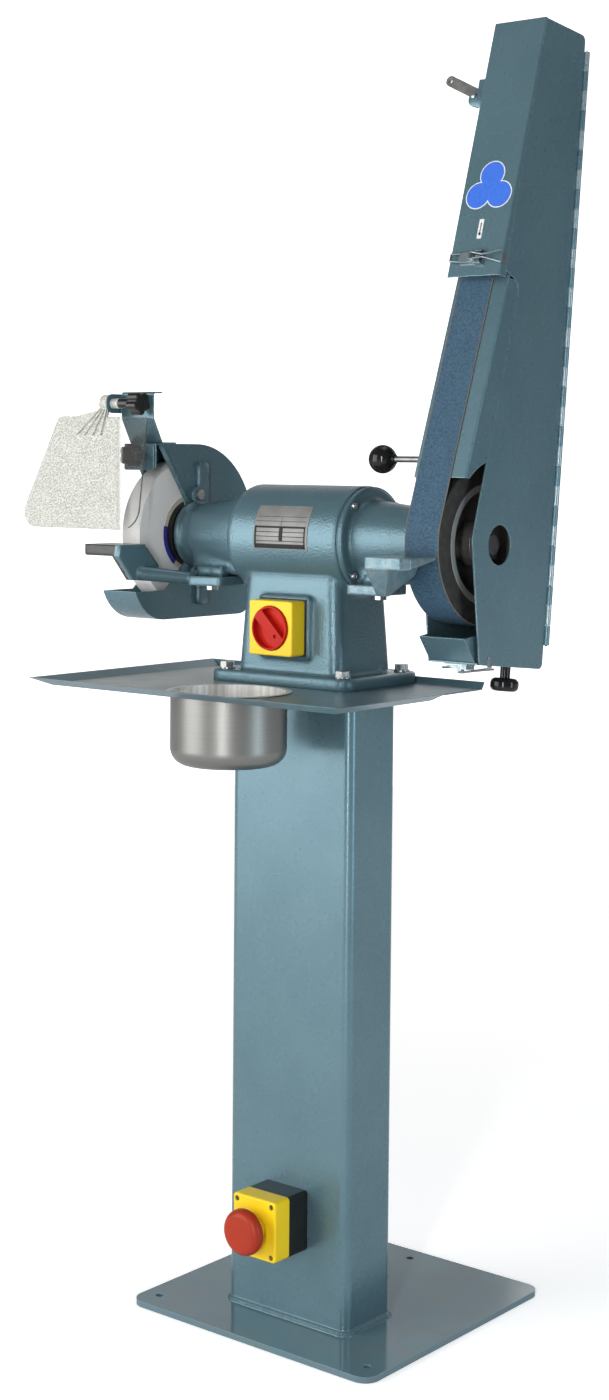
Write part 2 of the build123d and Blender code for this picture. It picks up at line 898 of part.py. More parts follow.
def rest_lug(side, casting):
    """Casting with its slotted lug, cut clear of the pad above it."""
    arm_z = shaft_z - rest_arm_drop
    lug_y = shaft_y + rest_lug_y
    low = arm_z - rest_lug_thick / 2
    x0, x1 = sorted((side * rest_lug_inner, side * rest_lug_outer))
    reach = rest_lug_length / 2 + rest_travel
    casting -= box(x0, x1, lug_y - reach, lug_y + reach, low + rest_lug_thick, low + 2 * rest_lug_thick)
    casting -= box(x0, x1, lug_y - reach, lug_y + reach, low - rest_lug_thick, low)
    lug = RectangleRounded(x1 - x0, rest_lug_length, rest_lug_thick / 2)
    casting += Pos((x0 + x1) / 2, lug_y, low) * extrude(lug, amount=rest_lug_thick)
    slot = SlotCenterToCenter(2 * rest_travel, rest_bolt + 2 * moving_gap, rotation=90)
    return casting - Pos(side * rest_lug_x, lug_y, low - 1) * extrude(slot, amount=rest_lug_thick + 2)


def left_rest():
    """Cast rest with a plate web on the table's inner side and a tapered arm."""
    top = shaft_z - rest_top_drop
    back = rest_back()
    front = back - left_table_depth
    low = shaft_z - rest_web_low
    table = box(-left_table_outer, -left_table_inner, front, back, top - rest_thick, top)
    table = fillet(table.edges().filter_by(Axis.Z), 4)
    table = fillet(table.faces().sort_by(Axis.Z)[0].edges(), 3)
    web = Polygon((front, top - rest_thick), (front + 2, top - 4), (back, top - 4),
                  (back + 2 * rest_web_thick, low + 17),
                  (back + rest_web_thick, low + 4), (front + 0.53 * left_table_depth, low), align=None)
    web = fillet(web.vertices().sort_by(Axis.Y)[:3], rest_web_round)
    web = extrude(Plane.YZ.offset(-left_table_inner - rest_web_thick) * web, amount=rest_web_thick,
                  dir=along_x)
    root = (-left_table_inner - rest_web_thick / 2, back - rest_web_thick, low + rest_arm_root)
    tip = (rest_lug_thick - rest_lug_outer, shaft_y + rest_lug_y, shaft_z - rest_arm_drop)
    return rest_lug(-1, table + web + tapered_between(rest_arm_root, rest_arm_tip, root, tip))


def right_rest():
    """Cast rest with a keel below the table that rises to the belt, and a tapered arm."""
    top = shaft_z - rest_top_drop
    back = rest_back()
    front = back - right_table_depth
    low = shaft_z - rest_web_low
    under = top - rest_thick
    table = Polygon((front, top), (back, top), (back, top - rest_thick / 4), (front + 4, under),
                    (front, under), align=None)
    table = extrude(Plane.YZ.offset(right_table_inner) * table,
                    amount=right_table_outer - right_table_inner, dir=along_x)
    corner = table.edges().filter_by(Axis.Z).group_by(Axis.Y)[0].sort_by(Axis.X)
    table = chamfer(corner[-1], right_table_chamfer)
    rear_x = right_table_outer - 2 * rest_web_thick
    across = Polygon((right_table_inner, under + 2), (rear_x, under + 2), (right_table_inner + 20, low),
                     (right_table_inner + 9, low), align=None)
    along = Polygon((front, under + 2), (back, under + 2), (back, under - 9), (back - 40, low),
                    (front + 14, low), align=None)
    keel = extrude(Plane.XZ.offset(-back) * across, amount=right_table_depth, dir=(0, -1, 0))
    keel = keel & extrude(Plane.YZ.offset(right_table_inner) * along, amount=right_table_outer, dir=along_x)
    root = (right_table_inner + 10, back - 40, low + rest_arm_root)
    tip = (rest_lug_outer - rest_lug_thick, shaft_y + rest_lug_y, shaft_z - rest_arm_drop)
    return rest_lug(1, table + keel + tapered_between(rest_arm_root, rest_arm_tip, root, tip))


def rest_bolts():
    bolts = []
    low = shaft_z - rest_arm_drop - rest_lug_thick / 2 - seat_gap
    y = shaft_y + rest_lug_y
    for side in (-1, 1):
        x = side * rest_lug_x
        head = extrude(RegularPolygon(rest_bolt_flat, 6, major_radius=False), amount=rest_bolt_head)
        shank = rod_z(rest_bolt / 2, low - 1, low + rest_lug_thick + rest_bolt, x, y)
        bolts.append(Pos(x, y, low - rest_bolt_head) * head + shank)
    return Compound(children=bolts)


def spark_deflector():
    back = shaft_y - guard_top_forward - seat_gap
    top = guard_top_z - 2
    x0 = guard_left + 2
    x1 = guard_right - 2
    plate = box(x0, x1, back - guard_sheet, back, top - deflector_height, top)
    plate = fillet(plate.edges().filter_by(Axis.Y), 3)
    slot = SlotCenterToCenter(deflector_travel, 2 * (stud_radius + seat_gap), rotation=90)
    slot = Plane.XZ * slot
    cut = extrude(slot, amount=10, both=True)
    return plate - Pos(deflector_x(), back, deflector_z() + deflector_travel / 2) * cut


def deflector_knob():
    back = shaft_y - guard_top_forward
    face = back - 2 * seat_gap - guard_sheet
    grip = Pos(deflector_x(), face - 6, deflector_z()) * Rot(90, 0, 0) * star_knob(knob_radius, knob_depth,
                                                                                   knob_lobes)
    hub = rod_y(9, face - 6, face, deflector_x(), deflector_z())
    stud = rod_y(stud_radius, face - 1, back + guard_sheet + 4, deflector_x(), deflector_z())
    return grip + hub + stud


def bracket_levels():
    low = guard_top_z
    middle = low + bracket_low
    top = middle + bracket_high
    foot_y = shaft_y - guard_top_forward + 13
    face_y = foot_y - bracket_lean
    return low, middle, top, foot_y, face_y


def shield_axis():
    low, middle, top, foot_y, face_y = bracket_levels()
    return face_y - shield_axis_forward, top - shield_axis_drop


def shield_bracket():
    low, middle, top, foot_y, face_y = bracket_levels()
    half = guard_sheet / 2
    path = FilletPolyline((foot_y + 28, low + half), (foot_y, low + half), (face_y, middle),
                          (face_y, top - half),
                          (face_y + bracket_flange, top - half), radius=3)
    sheet = extrude(Plane.YZ.offset(guard_left) * trace(path, guard_sheet), amount=guard_right - guard_left,
                    dir=along_x)
    axis_y, axis_z = shield_axis()
    ear = Pos(axis_y, axis_z) * Circle(shield_boss + 1)
    ear += Pos((axis_y + face_y) / 2, axis_z) * Rectangle(face_y - axis_y, 2 * shield_boss + 2)
    ear = extrude(Plane.YZ.offset(guard_left - guard_sheet) * ear, amount=guard_sheet, dir=along_x)
    link = box(guard_left - guard_sheet, guard_left + 3, face_y - half, face_y + half, axis_z - 13,
               axis_z + 13)
    bracket = sheet + ear + link
    return bracket - rod_x(stud_radius + running_gap, guard_left - 4, guard_left + 1, axis_y, axis_z)


def shield_plane():
    axis_y, axis_z = shield_axis()
    angle = math.radians(shield_lean)
    up = (0, math.sin(angle), math.cos(angle))
    origin = (0, axis_y - shield_drop * up[1] - 2, axis_z - shield_drop * up[2])
    return Plane(origin=origin, x_dir=(1, 0, 0), z_dir=(0, -up[2], up[1]))


def eye_shield():
    place = shield_plane()
    panel = Polygon((shield_top_left, 0), (shield_top_right, 0), (shield_low_right, -shield_length),
                    (shield_low_left, -shield_length), align=None)
    panel = fillet(panel.vertices().sort_by(Axis.Y)[:2], shield_corner)
    panel = fillet(panel.vertices().sort_by(Axis.Y)[-2:], shield_corner / 3)
    tongue = Polygon((shield_boss_left - 50, -1), (shield_boss_right, -1), (shield_boss_right, shield_drop),
                     (shield_boss_left, shield_drop), (shield_boss_left, shield_drop / 2), align=None)
    clear = extrude(place * panel, amount=shield_thick, dir=place.z_dir)
    clear += extrude(place * tongue, amount=shield_thick, dir=place.z_dir)
    for number in range(rib_count):
        share = number / (rib_count - 1)
        top_x = shield_boss_left + 1.5 + share * (shield_boss_right - shield_boss_left - 3)
        low_x = shield_boss_left - 38 + share * 46
        high = shield_drop - stud_radius - 2
        rib = Polygon((top_x - 1, high), (top_x + 1, high), (low_x + 1.5, -28), (low_x - 1.5, -28),
                      align=None)
        clear += extrude(place * rib, amount=shield_thick + 3, dir=place.z_dir)
    axis_y, axis_z = shield_axis()
    clear -= box(shield_boss_right, 0, axis_y - shield_length, 0, axis_z - shield_drop, axis_z + shield_drop)
    clear += rod_x(shield_boss, shield_boss_left, shield_boss_right, axis_y, axis_z)
    return clear - rod_x(stud_radius + running_gap, shield_boss_left - 1, shield_boss_right + 1, axis_y,
                         axis_z)


def shield_knob():
    axis_y, axis_z = shield_axis()
    head = shield_boss_left - seat_gap
    sleeve_left = guard_left + seat_gap
    sleeve_right = shield_knob_right - knob_depth
    stud = rod_x(stud_radius, head - 5, sleeve_right + 2, axis_y, axis_z)
    cap = rod_x(stud_radius + 2.5, head - 6, head, axis_y, axis_z)
    sleeve = rod_x(7, sleeve_left, sleeve_right, axis_y, axis_z)
    grip = Pos(sleeve_right, axis_y, axis_z) * Rot(0, 90, 0) * star_knob(knob_radius, knob_depth, knob_lobes)
    return stud + cap + sleeve + grip


# Emergency stop
def stop_faces():
    wall = column_y - column_depth / 2
    return wall, wall - stop_base_depth, wall - stop_base_depth - stop_cover_depth


def stop_case(near, far):
    half = stop_width / 2
    case = box(-half, half, far, near, stop_z - stop_height / 2, stop_z + stop_height / 2)
    return fillet(case.edges().filter_by(Axis.Y), 5)


def estop_base():
    wall, seam, face = stop_faces()
    return stop_case(wall, seam) - rod_y(stop_stem + 3, seam - 1, seam + 20, 0, stop_z)


def estop_cover():
    wall, seam, face = stop_faces()
    case = stop_case(seam, face)
    case = fillet(case.faces().sort_by(Axis.Y)[0].edges(), 3)
    case += rod_y(stop_collar, face - stop_collar_depth, face + 1, 0, stop_z)
    case -= rod_y(stop_stem + running_gap, face - 40, face + 8, 0, stop_z)
    case -= rod_y(stop_stem + 3, face + 8, seam + 1, 0, stop_z)
    for x in (-1, 1):
        for z in (-1, 1):
            place_x = x * (stop_width / 2 - 7)
            place_z = stop_z + z * (stop_height / 2 - 7)
            case -= rod_y(3.5, face - 1, face + 3, place_x, place_z)
    return case


def estop_button():
    wall, seam, face = stop_faces()
    back = face - stop_collar_depth - stop_travel - 1
    head = rod_y(stop_button, back - stop_button_depth, back, 0, stop_z)
    head = fillet(head.faces().sort_by(Axis.Y)[0].edges(), stop_button_depth - 5)
    head = fillet(head.faces().sort_by(Axis.Y)[-1].edges(), 2)
    return head + rod_y(stop_stem, back - 1, face + 12, 0, stop_z)


# Belt arm sheet metal
def belt_frame():
    """Lean of the belt's front run in arm axes, with its inner radii at both wheels."""
    lower = contact_radius + seat_gap
    upper = idler_radius + idler_slack
    angle = math.radians(belt_angle) + math.asin((lower - upper) / belt_centres)
    return angle, lower, upper


def belt_point(offset, height):
    """Arm point at a given b, behind the inner face of the belt's front run."""
    angle, lower, upper = belt_frame()
    reach = lower - offset
    along = (height - reach * math.sin(angle)) / math.cos(angle)
    return (-reach * math.cos(angle) + along * math.sin(angle), height)


def cover_line(height):
    share = (height - cover_low_b) / (arm_top - cover_low_b)
    return cover_low_a + share * (cover_top_a - cover_low_a)


def cover_depth():
    run = math.hypot(cover_top_a - cover_low_a, arm_top - cover_low_b)
    return arm_sheet * run / (arm_top - cover_low_b)


def belt_housing():
    low = arm_bottom + arm_sheet
    high = arm_top - arm_sheet
    edge = platen_sheet + 2 * seat_gap
    throat = cover_low_b + platen_lap
    wall = Polygon(
        (arm_front_low, arm_bottom), (arm_back, arm_bottom), (arm_back, arm_top),
        (cover_line(arm_top) + cover_depth(), arm_top), (cover_line(throat) + cover_depth(), throat),
        belt_point(edge, throat), belt_point(edge, platen_low), (arm_apex_a, arm_apex_b + 40),
        (arm_apex_a, arm_apex_b), align=None)
    shell = arm_slab(wall, wall_left, wall_inner)
    right = door_inner - hinge_leaf - moving_gap
    shell += arm_box(wall_left, right, arm_back - arm_sheet, arm_back, arm_bottom, arm_top)
    shell += arm_box(wall_left, right, cover_line(high) + cover_depth() + 0.5, arm_back, high, arm_top)
    shell += arm_box(wall_left, right, arm_front_low, arm_back, arm_bottom, low)
    for q in (guide_high, guide_low):
        block = line_box(wall_left + 1, belt_middle + bar_thick / 2 + 8, -guide_half, guide_half,
                         q - guide_length / 2, q + guide_length / 2)
        block -= line_box(belt_middle - bar_thick / 2 - seat_gap, belt_middle + bar_thick / 2 + seat_gap,
                          -bar_width / 2 - seat_gap, bar_width / 2 + seat_gap, q - guide_length,
                          q + guide_length)
        shell += block
    shell += line_disc(lever_pin, wall_left + 1, lever_right() + 2, lever_p, lever_q)
    near = track_p + track_sheet + moving_gap
    low_q = track_q - track_bracket_low
    high_q = track_q + track_bracket_high
    gusset = Polygon((wall_left + 1, low_q), (wall_left + 1, high_q), (track_bracket_top, high_q),
                     (track_bracket_left, track_q),
                     (track_bracket_left, track_q - track_grip), (track_bracket_top, low_q), align=None)
    shell += lever_slab(gusset, near, track_bracket_sheet)
    shell += line_cross(track_pin, track_p - 3, near + 1, track_x, track_q)
    shell -= arm_slab(Circle(shaft_radius + 4), wall_left - 1, wall_inner + 1)
    shell -= line_slab(rod_slot(), wall_left - 1, wall_inner + 1)
    window = line_box(wall_left - 1, wall_inner + 1, track_p - 2, track_p + track_sheet,
                      track_q - track_width / 2 - 3, track_q + track_width / 2 + 3)
    shell -= window
    hole_a = bottom_knob_a
    shell -= arm_pin(stud_radius + running_gap, bottom_knob_x, hole_a, arm_bottom - 1, low + 1)
    return shell


def arm_pin(radius, x, a, b0, b1):
    """Round pin along the arm's own height."""
    place = leaning_plane(x, arm_lean)
    return rod_between(radius, place.from_local_coords((a, b0, 0)), place.from_local_coords((a, b1, 0)))


def front_cover():
    depth = cover_depth()
    face = Polygon((cover_low_a, cover_low_b), (cover_top_a, arm_top), (cover_top_a + depth, arm_top),
                   (cover_low_a + depth, cover_low_b), align=None)
    edge = Polygon((cover_low_a, cover_low_b), (cover_top_a, arm_top), (cover_top_a + 2 * depth, arm_top),
                   (step_front_a + depth, cover_low_b), align=None)
    edge = edge - offset(door_outline(), amount=door_gap)
    sheet = arm_slab(face, wall_left, door_face) + arm_slab(edge, door_inner, door_face)
    return fillet(front_edge(sheet), arm_sheet - seat_gap)


def front_edge(sheet):
    """Long bend between the front face and the door-side flange."""
    outer = [e for e in sheet.edges() if e.bounding_box().min.X > door_face - seat_gap]
    long = max(e.length for e in outer)
    return min((e for e in outer if e.length > 0.6 * long), key=lambda e: e.center().Y)


def door_outline():
    outline = Polygon(
        (cover_top_a + cover_depth() + door_gap, arm_top - 1), (arm_back - 1, arm_top - 1),
        (arm_back - 1, arm_bottom),
        (arm_front_low, arm_bottom), (arm_apex_a, arm_apex_b), (step_a, step_b),
        (step_front_a, step_front_b), align=None)
    corners = outline.vertices()
    outline = fillet(corners.sort_by_distance((step_a, step_b))[0], 16)
    outline = fillet(outline.vertices().sort_by_distance((arm_apex_a, arm_apex_b))[0], 20)
    outline = fillet(outline.vertices().sort_by_distance((arm_back, arm_bottom))[0], 8)
    outline = fillet(outline.vertices().sort_by_distance((arm_front_low, arm_bottom))[0], 6)
    return fillet(outline.vertices().sort_by_distance((arm_back, arm_top))[0], 8)


def belt_door():
    return arm_slab(door_outline() - Circle(door_hole / 2), door_inner, door_face)


def platen():
    top = cover_low_b + platen_lap - 2
    low = platen_low
    near = belt_point(seat_gap, low)
    far = belt_point(seat_gap, top)
    near_back = belt_point(seat_gap + platen_sheet, low)
    far_back = belt_point(seat_gap + platen_sheet, top)
    face = arm_slab(Polygon(near, far, far_back, near_back, align=None), wall_left, door_face)
    flange = Polygon(near, belt_point(seat_gap, cover_low_b), (arm_back, cover_low_b), (arm_back, low),
                     align=None)
    door_room = offset(door_outline(), amount=door_gap)
    face -= arm_slab(door_room, door_inner - door_gap, door_face + door_gap)
    flange = flange - Circle(platen_cut) - door_room
    sheet = face + arm_slab(flange, door_inner, door_face)
    return fillet(front_edge(sheet), platen_sheet - seat_gap)


def hinge_axis():
    """Pin line of the door hinge as x and arm coordinate a."""
    return door_inner - hinge_leaf + knuckle_radius, arm_back + knuckle_radius


def knuckle(number, tab):
    low = hinge_low + number * knuckle_pitch + knuckle_gap / 2
    high = low + knuckle_pitch - knuckle_gap
    x, a = hinge_axis()
    ring = arm_pin(knuckle_radius, x, a, low, high)
    tab_x, tab_a = tab
    ring += arm_box(tab_x[0], tab_x[1], tab_a[0], tab_a[1], low, high)
    return ring - arm_pin(hinge_pin_radius + running_gap, x, a, low - 1, high + 1)


def hinge_length():
    return hinge_low, hinge_low + knuckle_count * knuckle_pitch


def hinge_fixed():
    x, a = hinge_axis()
    low, high = hinge_length()
    edge = x - knuckle_radius - moving_gap
    leaf = arm_box(edge - hinge_leaf_width, edge, arm_back, arm_back + hinge_leaf, low, high)
    tab = ((edge - 1, x), (arm_back, arm_back + hinge_leaf))
    for number in range(0, knuckle_count, 2):
        leaf += knuckle(number, tab)
    return leaf


def hinge_moving():
    x, a = hinge_axis()
    low, high = hinge_length()
    inner = door_inner - hinge_leaf
    edge = a - knuckle_radius - moving_gap
    leaf = arm_box(inner, door_inner, edge - hinge_leaf_width, edge, low, high)
    tab = ((inner, door_inner), (edge - 1, a))
    for number in range(1, knuckle_count, 2):
        leaf += knuckle(number, tab)
    return leaf


def hinge_pin():
    x, a = hinge_axis()
    low, high = hinge_length()
    return arm_pin(hinge_pin_radius, x, a, low - 1, high + 1)


def spark_chute():
    left = wall_inner + seat_gap
    floor_b = arm_bottom + arm_sheet
    front = arm_front_low
    back = front + chute_depth
    path = FilletPolyline((back, floor_b + arm_sheet / 2), (front, floor_b + arm_sheet / 2),
                          (chute_lip_a, chute_lip_b), radius=4)
    scoop = arm_slab(trace(path, arm_sheet), left, chute_right)
    cheek = Polygon((front, floor_b + 1), (chute_lip_a, chute_lip_b), (front - 8, chute_lip_b + 4),
                    (front + 24, chute_lip_b + 4),
                    (back, floor_b + 1), align=None)
    scoop += arm_slab(cheek, chute_right - arm_sheet, chute_right)
    return scoop + arm_slab(cheek, left, left + arm_sheet)


def bottom_knob():
    low = arm_bottom - seat_gap
    sleeve = arm_pin(6.5, bottom_knob_x, bottom_knob_a, low - bottom_knob_sleeve, low)
    shank = arm_pin(stud_radius, bottom_knob_x, bottom_knob_a, low - 1, arm_bottom + arm_sheet + 8)
    head_top = low - bottom_knob_sleeve
    head = arm_pin(bottom_knob_radius, bottom_knob_x, bottom_knob_a, head_top - bottom_knob_head, head_top)
    head = fillet(head.edges().filter_by(GeomType.CIRCLE), bottom_knob_round)
    return head + sleeve + shank


# Belt and wheels
def abrasive_belt():
    angle, lower, upper = belt_frame()

    def loop(extra):
        bottom = Circle(lower + extra)
        top = Pos(0, belt_centres) * Circle(upper + extra)
        return make_hull((bottom + top).edges())

    return line_slab(loop(belt_thick) - loop(0), belt_left, belt_right)


def contact_hub():
    rim = contact_radius - tyre_thick
    inner = rim - rim_thick
    web = belt_left + 14
    return turned([
        (belt_left, inner), (belt_left, rim), (belt_right, rim), (belt_right, inner),
        (web + web_thick, inner),
        (web + web_thick, contact_boss), (belt_right - 4, contact_boss), (belt_right - 4, shaft_radius),
        (belt_left + 2, shaft_radius), (belt_left + 2, contact_boss), (web, contact_boss), (web, inner)])


def contact_tyre():
    rim = contact_radius - tyre_thick
    tyre = turned([(belt_left, rim), (belt_left, contact_radius), (belt_right, contact_radius),
                   (belt_right, rim)])
    return chamfer([e for e in tyre.edges() if e.length > 2 * math.pi * (contact_radius - 1)], 1)


def contact_nut():
    low = belt_right - 4
    washer = rod_x(contact_boss - 4, low, low + 3, shaft_y, shaft_z)
    nut = hexagon_x(contact_nut_across, low + 3, low + 3 + contact_nut_thick) + washer
    return nut - rod_x(shaft_radius, low - 1, low + 40, shaft_y, shaft_z)


def idler_left():
    return belt_middle - idler_width / 2


def idler_wheel():
    body = line_disc(idler_radius, idler_left(), idler_left() + idler_width, 0, belt_centres)
    body -= line_disc(idler_bearing - 3, idler_left() - 1, idler_left() + idler_width + 1, 0, belt_centres)
    for low in (idler_left(), idler_left() + idler_width - idler_bearing_width):
        body -= line_disc(idler_bearing, low - 0.01, low + idler_bearing_width + 0.01, 0, belt_centres)
    return body


def idler_bearings():
    rings = []
    for low in (idler_left(), idler_left() + idler_width - idler_bearing_width):
        ring = line_disc(idler_bearing, low, low + idler_bearing_width, 0, belt_centres)
        rings.append(ring - line_disc(idler_axle + running_gap, low - 1, low + 20, 0, belt_centres))
    return Compound(children=rings)


def yoke_span():
    left = idler_left() - yoke_side_gap - yoke_sheet
    right = idler_left() + idler_width + yoke_side_gap + yoke_sheet
    return left, right


def idler_yoke():
    left, right = yoke_span()
    low = belt_centres - yoke_drop - yoke_bridge / 2
    cheek = Pos(0, belt_centres) * Circle(yoke_half)
    cheek += Pos(0, (low + belt_centres) / 2) * Rectangle(2 * yoke_half, belt_centres - low)
    yoke = line_slab(cheek, left, left + yoke_sheet) + line_slab(cheek, right - yoke_sheet, right)
    yoke += line_box(left, right, -yoke_half, yoke_half, low, low + yoke_bridge)
    yoke += line_disc(idler_axle, left, right, 0, belt_centres)
    lug_top = track_q - track_width / 2 - moving_gap
    yoke += line_box(left, left + yoke_sheet, track_p - 2, -yoke_half + 2, lug_top - 8, lug_top)
    return yoke - line_cross(yoke_pin + running_gap, -yoke_half - 1, yoke_half + 1, belt_middle,
                             belt_centres - yoke_drop)


def tension_bar():
    middle = belt_middle
    half = bar_thick / 2
    slot_q = lever_q + crank * math.sin(math.radians(crank_angle))
    low = slot_q - bar_tail
    base = belt_centres - yoke_drop - yoke_bridge / 2 - yoke_room
    inner = yoke_half + moving_gap
    bar = line_box(middle - half, middle + half, -bar_width / 2, bar_width / 2, low, base)
    bar += line_box(middle - clevis_half, middle + clevis_half, -inner - clevis_sheet, inner + clevis_sheet,
                    base - clevis_depth, base)
    for side in (-1, 1):
        p0, p1 = sorted((side * inner, side * (inner + clevis_sheet)))
        bar += line_box(middle - clevis_half, middle + clevis_half, p0, p1, base - 1,
                        belt_centres - yoke_drop + clevis_half)
    bar += line_cross(yoke_pin, -inner - 1, inner + 1, middle, belt_centres - yoke_drop)
    collar_low = guide_low + guide_length / 2 + spring_length
    reach = half + collar_reach
    bar += line_box(middle - reach, middle + reach, -spring_outer, spring_outer, collar_low,
                    collar_low + collar_thick)
    reach = crank * (1 - math.cos(math.radians(crank_angle)))
    slot = line_box(middle - half - 1, middle + half + 1, -reach - crank_pin - 2, reach + crank_pin + 2,
                    slot_q - crank_pin - moving_gap, slot_q + crank_pin + moving_gap)
    return bar - slot


def tension_spring():
    low = guide_low + guide_length / 2
    middle = Pos(0, 0, low + spring_length / 2)
    spring = middle * Cylinder(spring_outer, spring_length - 2 * seat_gap)
    spring -= middle * Cylinder(spring_inner, spring_length + 2)
    return Pos(belt_middle, shaft_y, shaft_z) * Rot(-arm_lean - belt_angle, 0, 0) * spring


def lever_left():
    return wall_inner + 1.5


def lever_right():
    return lever_left() + lever_sheet


def rod_slot():
    """Arc slot in the left wall for the lever's rod."""
    reach = math.hypot(rod_p - lever_p, rod_q - lever_q)
    start = math.degrees(math.atan2(rod_q - lever_q, rod_p - lever_p)) % 360
    arc = CenterArc((lever_p, lever_q), reach, start - 2 * crank_angle - 1, 2 * crank_angle + 2)
    slot = trace(arc, 2 * (rod_radius + 1))
    for end in (arc @ 0, arc @ 1):
        slot += Pos(end.X, end.Y) * Circle(rod_radius + 1)
    return slot


def tension_lever():
    x0 = lever_left()
    x1 = lever_right()
    pin_p = lever_p + crank * math.cos(math.radians(crank_angle))
    pin_q = lever_q + crank * math.sin(math.radians(crank_angle))
    boss = Pos(lever_p, lever_q) * Circle(lever_boss)
    outline = make_hull((boss + Pos(rod_p, rod_q) * Circle(rod_boss)).edges())
    outline += make_hull((boss + Pos(pin_p, pin_q) * Circle(crank_pin + 3)).edges())
    lever = line_slab(outline, x0, x1)
    lever += line_disc(crank_pin, x1 - 1, belt_middle + bar_thick / 2 + 4, pin_p, pin_q)
    lever += line_disc(rod_radius, ball_x, x0 + 1, rod_p, rod_q)
    return lever - line_disc(lever_pin + running_gap, x0 - 1, x1 + 3, lever_p, lever_q)


def ball_knob():
    place = leaning_plane(ball_x, arm_lean + belt_angle)
    centre = place.from_local_coords((rod_p, rod_q, 0))
    ball = Pos(*centre) * Rot(0, 90, 0) * Sphere(ball_radius)
    ball += line_disc(rod_radius + 2, ball_x + ball_radius - 4, ball_x + ball_radius + 1, rod_p, rod_q)
    return ball - line_disc(rod_radius + running_gap, ball_x - running_gap, ball_x + 60, rod_p, rod_q)


def lever_slab(sketch, p, thick):
    """Extrude an (x, q) sketch from p backwards along the p axis."""
    place = leaning_plane(0, arm_lean + belt_angle)
    flat = Plane(origin=place.from_local_coords((p + thick, 0, 0)), x_dir=(1, 0, 0), z_dir=-place.x_dir)
    return extrude(flat * sketch, amount=thick, dir=flat.z_dir)


def tracking_lever():
    left, right = yoke_span()
    tip = left + yoke_sheet / 2
    half = track_width / 2
    outline = make_hull((Pos(track_elbow, track_q - track_elbow_drop) * Circle(track_grip)
                         + Pos(track_end, track_q + track_rise) * Circle(track_grip)).edges())
    outline += Polygon((track_elbow, track_q - half), (tip, track_q - half), (tip, track_q + half),
                       (track_elbow, track_q + half),
                       align=None)
    outline -= Pos(track_end, track_q + track_rise) * Circle(track_grip_hole)
    lever = lever_slab(outline, track_p, track_sheet)
    return lever - line_cross(track_pin + running_gap, track_p - 2, track_p + track_sheet + 2, track_x,
                              track_q)


# Toggle latches
def front_latch_plane():
    lean = math.atan2(cover_top_a - cover_low_a, arm_top - cover_low_b) + math.radians(arm_lean)
    arm = leaning_plane(0, arm_lean)
    origin = arm.from_local_coords((cover_line(front_latch_b), front_latch_b, 0))
    return Plane(origin=origin, x_dir=(1, 0, 0), z_dir=(0, -math.cos(lean), math.sin(lean)))


def bottom_latch_plane():
    arm = leaning_plane(0, arm_lean)
    origin = arm.from_local_coords((bottom_latch_a, arm_bottom, 0))
    return Plane(origin=origin, x_dir=(1, 0, 0), z_dir=-arm.y_dir)


def latch_base():
    ear_top = latch_axis_w + latch_ear_rise
    base = box(latch_axis_x - latch_tail, latch_axis_x + latch_nose, -latch_half, latch_half, 0, latch_sheet)
    for side in (-1, 1):
        y0, y1 = sorted((side * latch_half, side * (latch_half - latch_ear)))
        base += box(latch_axis_x - latch_ear_half, latch_axis_x + latch_ear_half, y0, y1, 0, ear_top)
    return base - rod_y(latch_pin + running_gap, -2 * latch_half, 2 * latch_half, latch_axis_x, latch_axis_w)


def latch_lever(reach):
    width = latch_half - latch_ear - moving_gap
    plate_left = latch_axis_x - 0.7 * reach
    plate = box(plate_left, latch_axis_x + 2, -width, width, latch_axis_w - 1.5, latch_axis_w + 1.5)
    saddle_top = latch_loop_w() - latch_wire - seat_gap
    plate += box(loop_axis_x() - 3, loop_axis_x() + 3, -loop_low + 1, loop_low - 1, latch_axis_w, saddle_top)
    plate += rod_y(latch_pin, -latch_half, latch_half, latch_axis_x, latch_axis_w)
    end = latch_axis_x - reach
    corners = [(plate_left + 2, -width + 1, latch_axis_w), (end, -width + 2, latch_axis_w + 2),
               (end, width - 2, latch_axis_w + 2), (plate_left + 2, width - 1, latch_axis_w)]
    return plate + bent_wire(corners, False)


def latch_loop_w():
    return latch_axis_w + loop_rise


def loop_axis_x():
    return latch_axis_x - loop_set_back


def bent_wire(corners, closed):
    """Round wire through corner points."""
    pairs = list(zip(corners, corners[1:]))
    if closed:
        pairs.append((corners[-1], corners[0]))
    wire = Sphere(latch_wire).moved(Location(corners[0]))
    for start, end in pairs:
        wire += rod_between(latch_wire, start, end)
        wire += Sphere(latch_wire).moved(Location(end))
    return wire


def latch_loop():
    """Wire from the lever that narrows, then opens to a triangle round the catch."""
    bar = door_face + seat_gap + latch_wire
    back = loop_axis_x()
    waist = back + loop_waist_x
    waist_w = latch_loop_w() - loop_rise * loop_waist_x / (bar - back)
    return bent_wire([(back, -loop_low, latch_loop_w()), (waist, -loop_waist, waist_w),
                      (bar, -loop_high, latch_axis_w),
                      (bar, loop_high, latch_axis_w), (waist, loop_waist, waist_w),
                      (back, loop_low, latch_loop_w())], True)


def latch_catch():
    half = loop_high - latch_wire - 2
    return box(door_face, door_face + catch_sheet, -half, half, -catch_reach,
               latch_axis_w - latch_wire - seat_gap)


def at(place, shape):
    return place.location * shape


def latch_bases():
    return Compound(children=[at(front_latch_plane(), latch_base()), at(bottom_latch_plane(), latch_base())])


def latch_catches():
    return Compound(children=[at(front_latch_plane(), latch_catch()),
                              at(bottom_latch_plane(), latch_catch())])


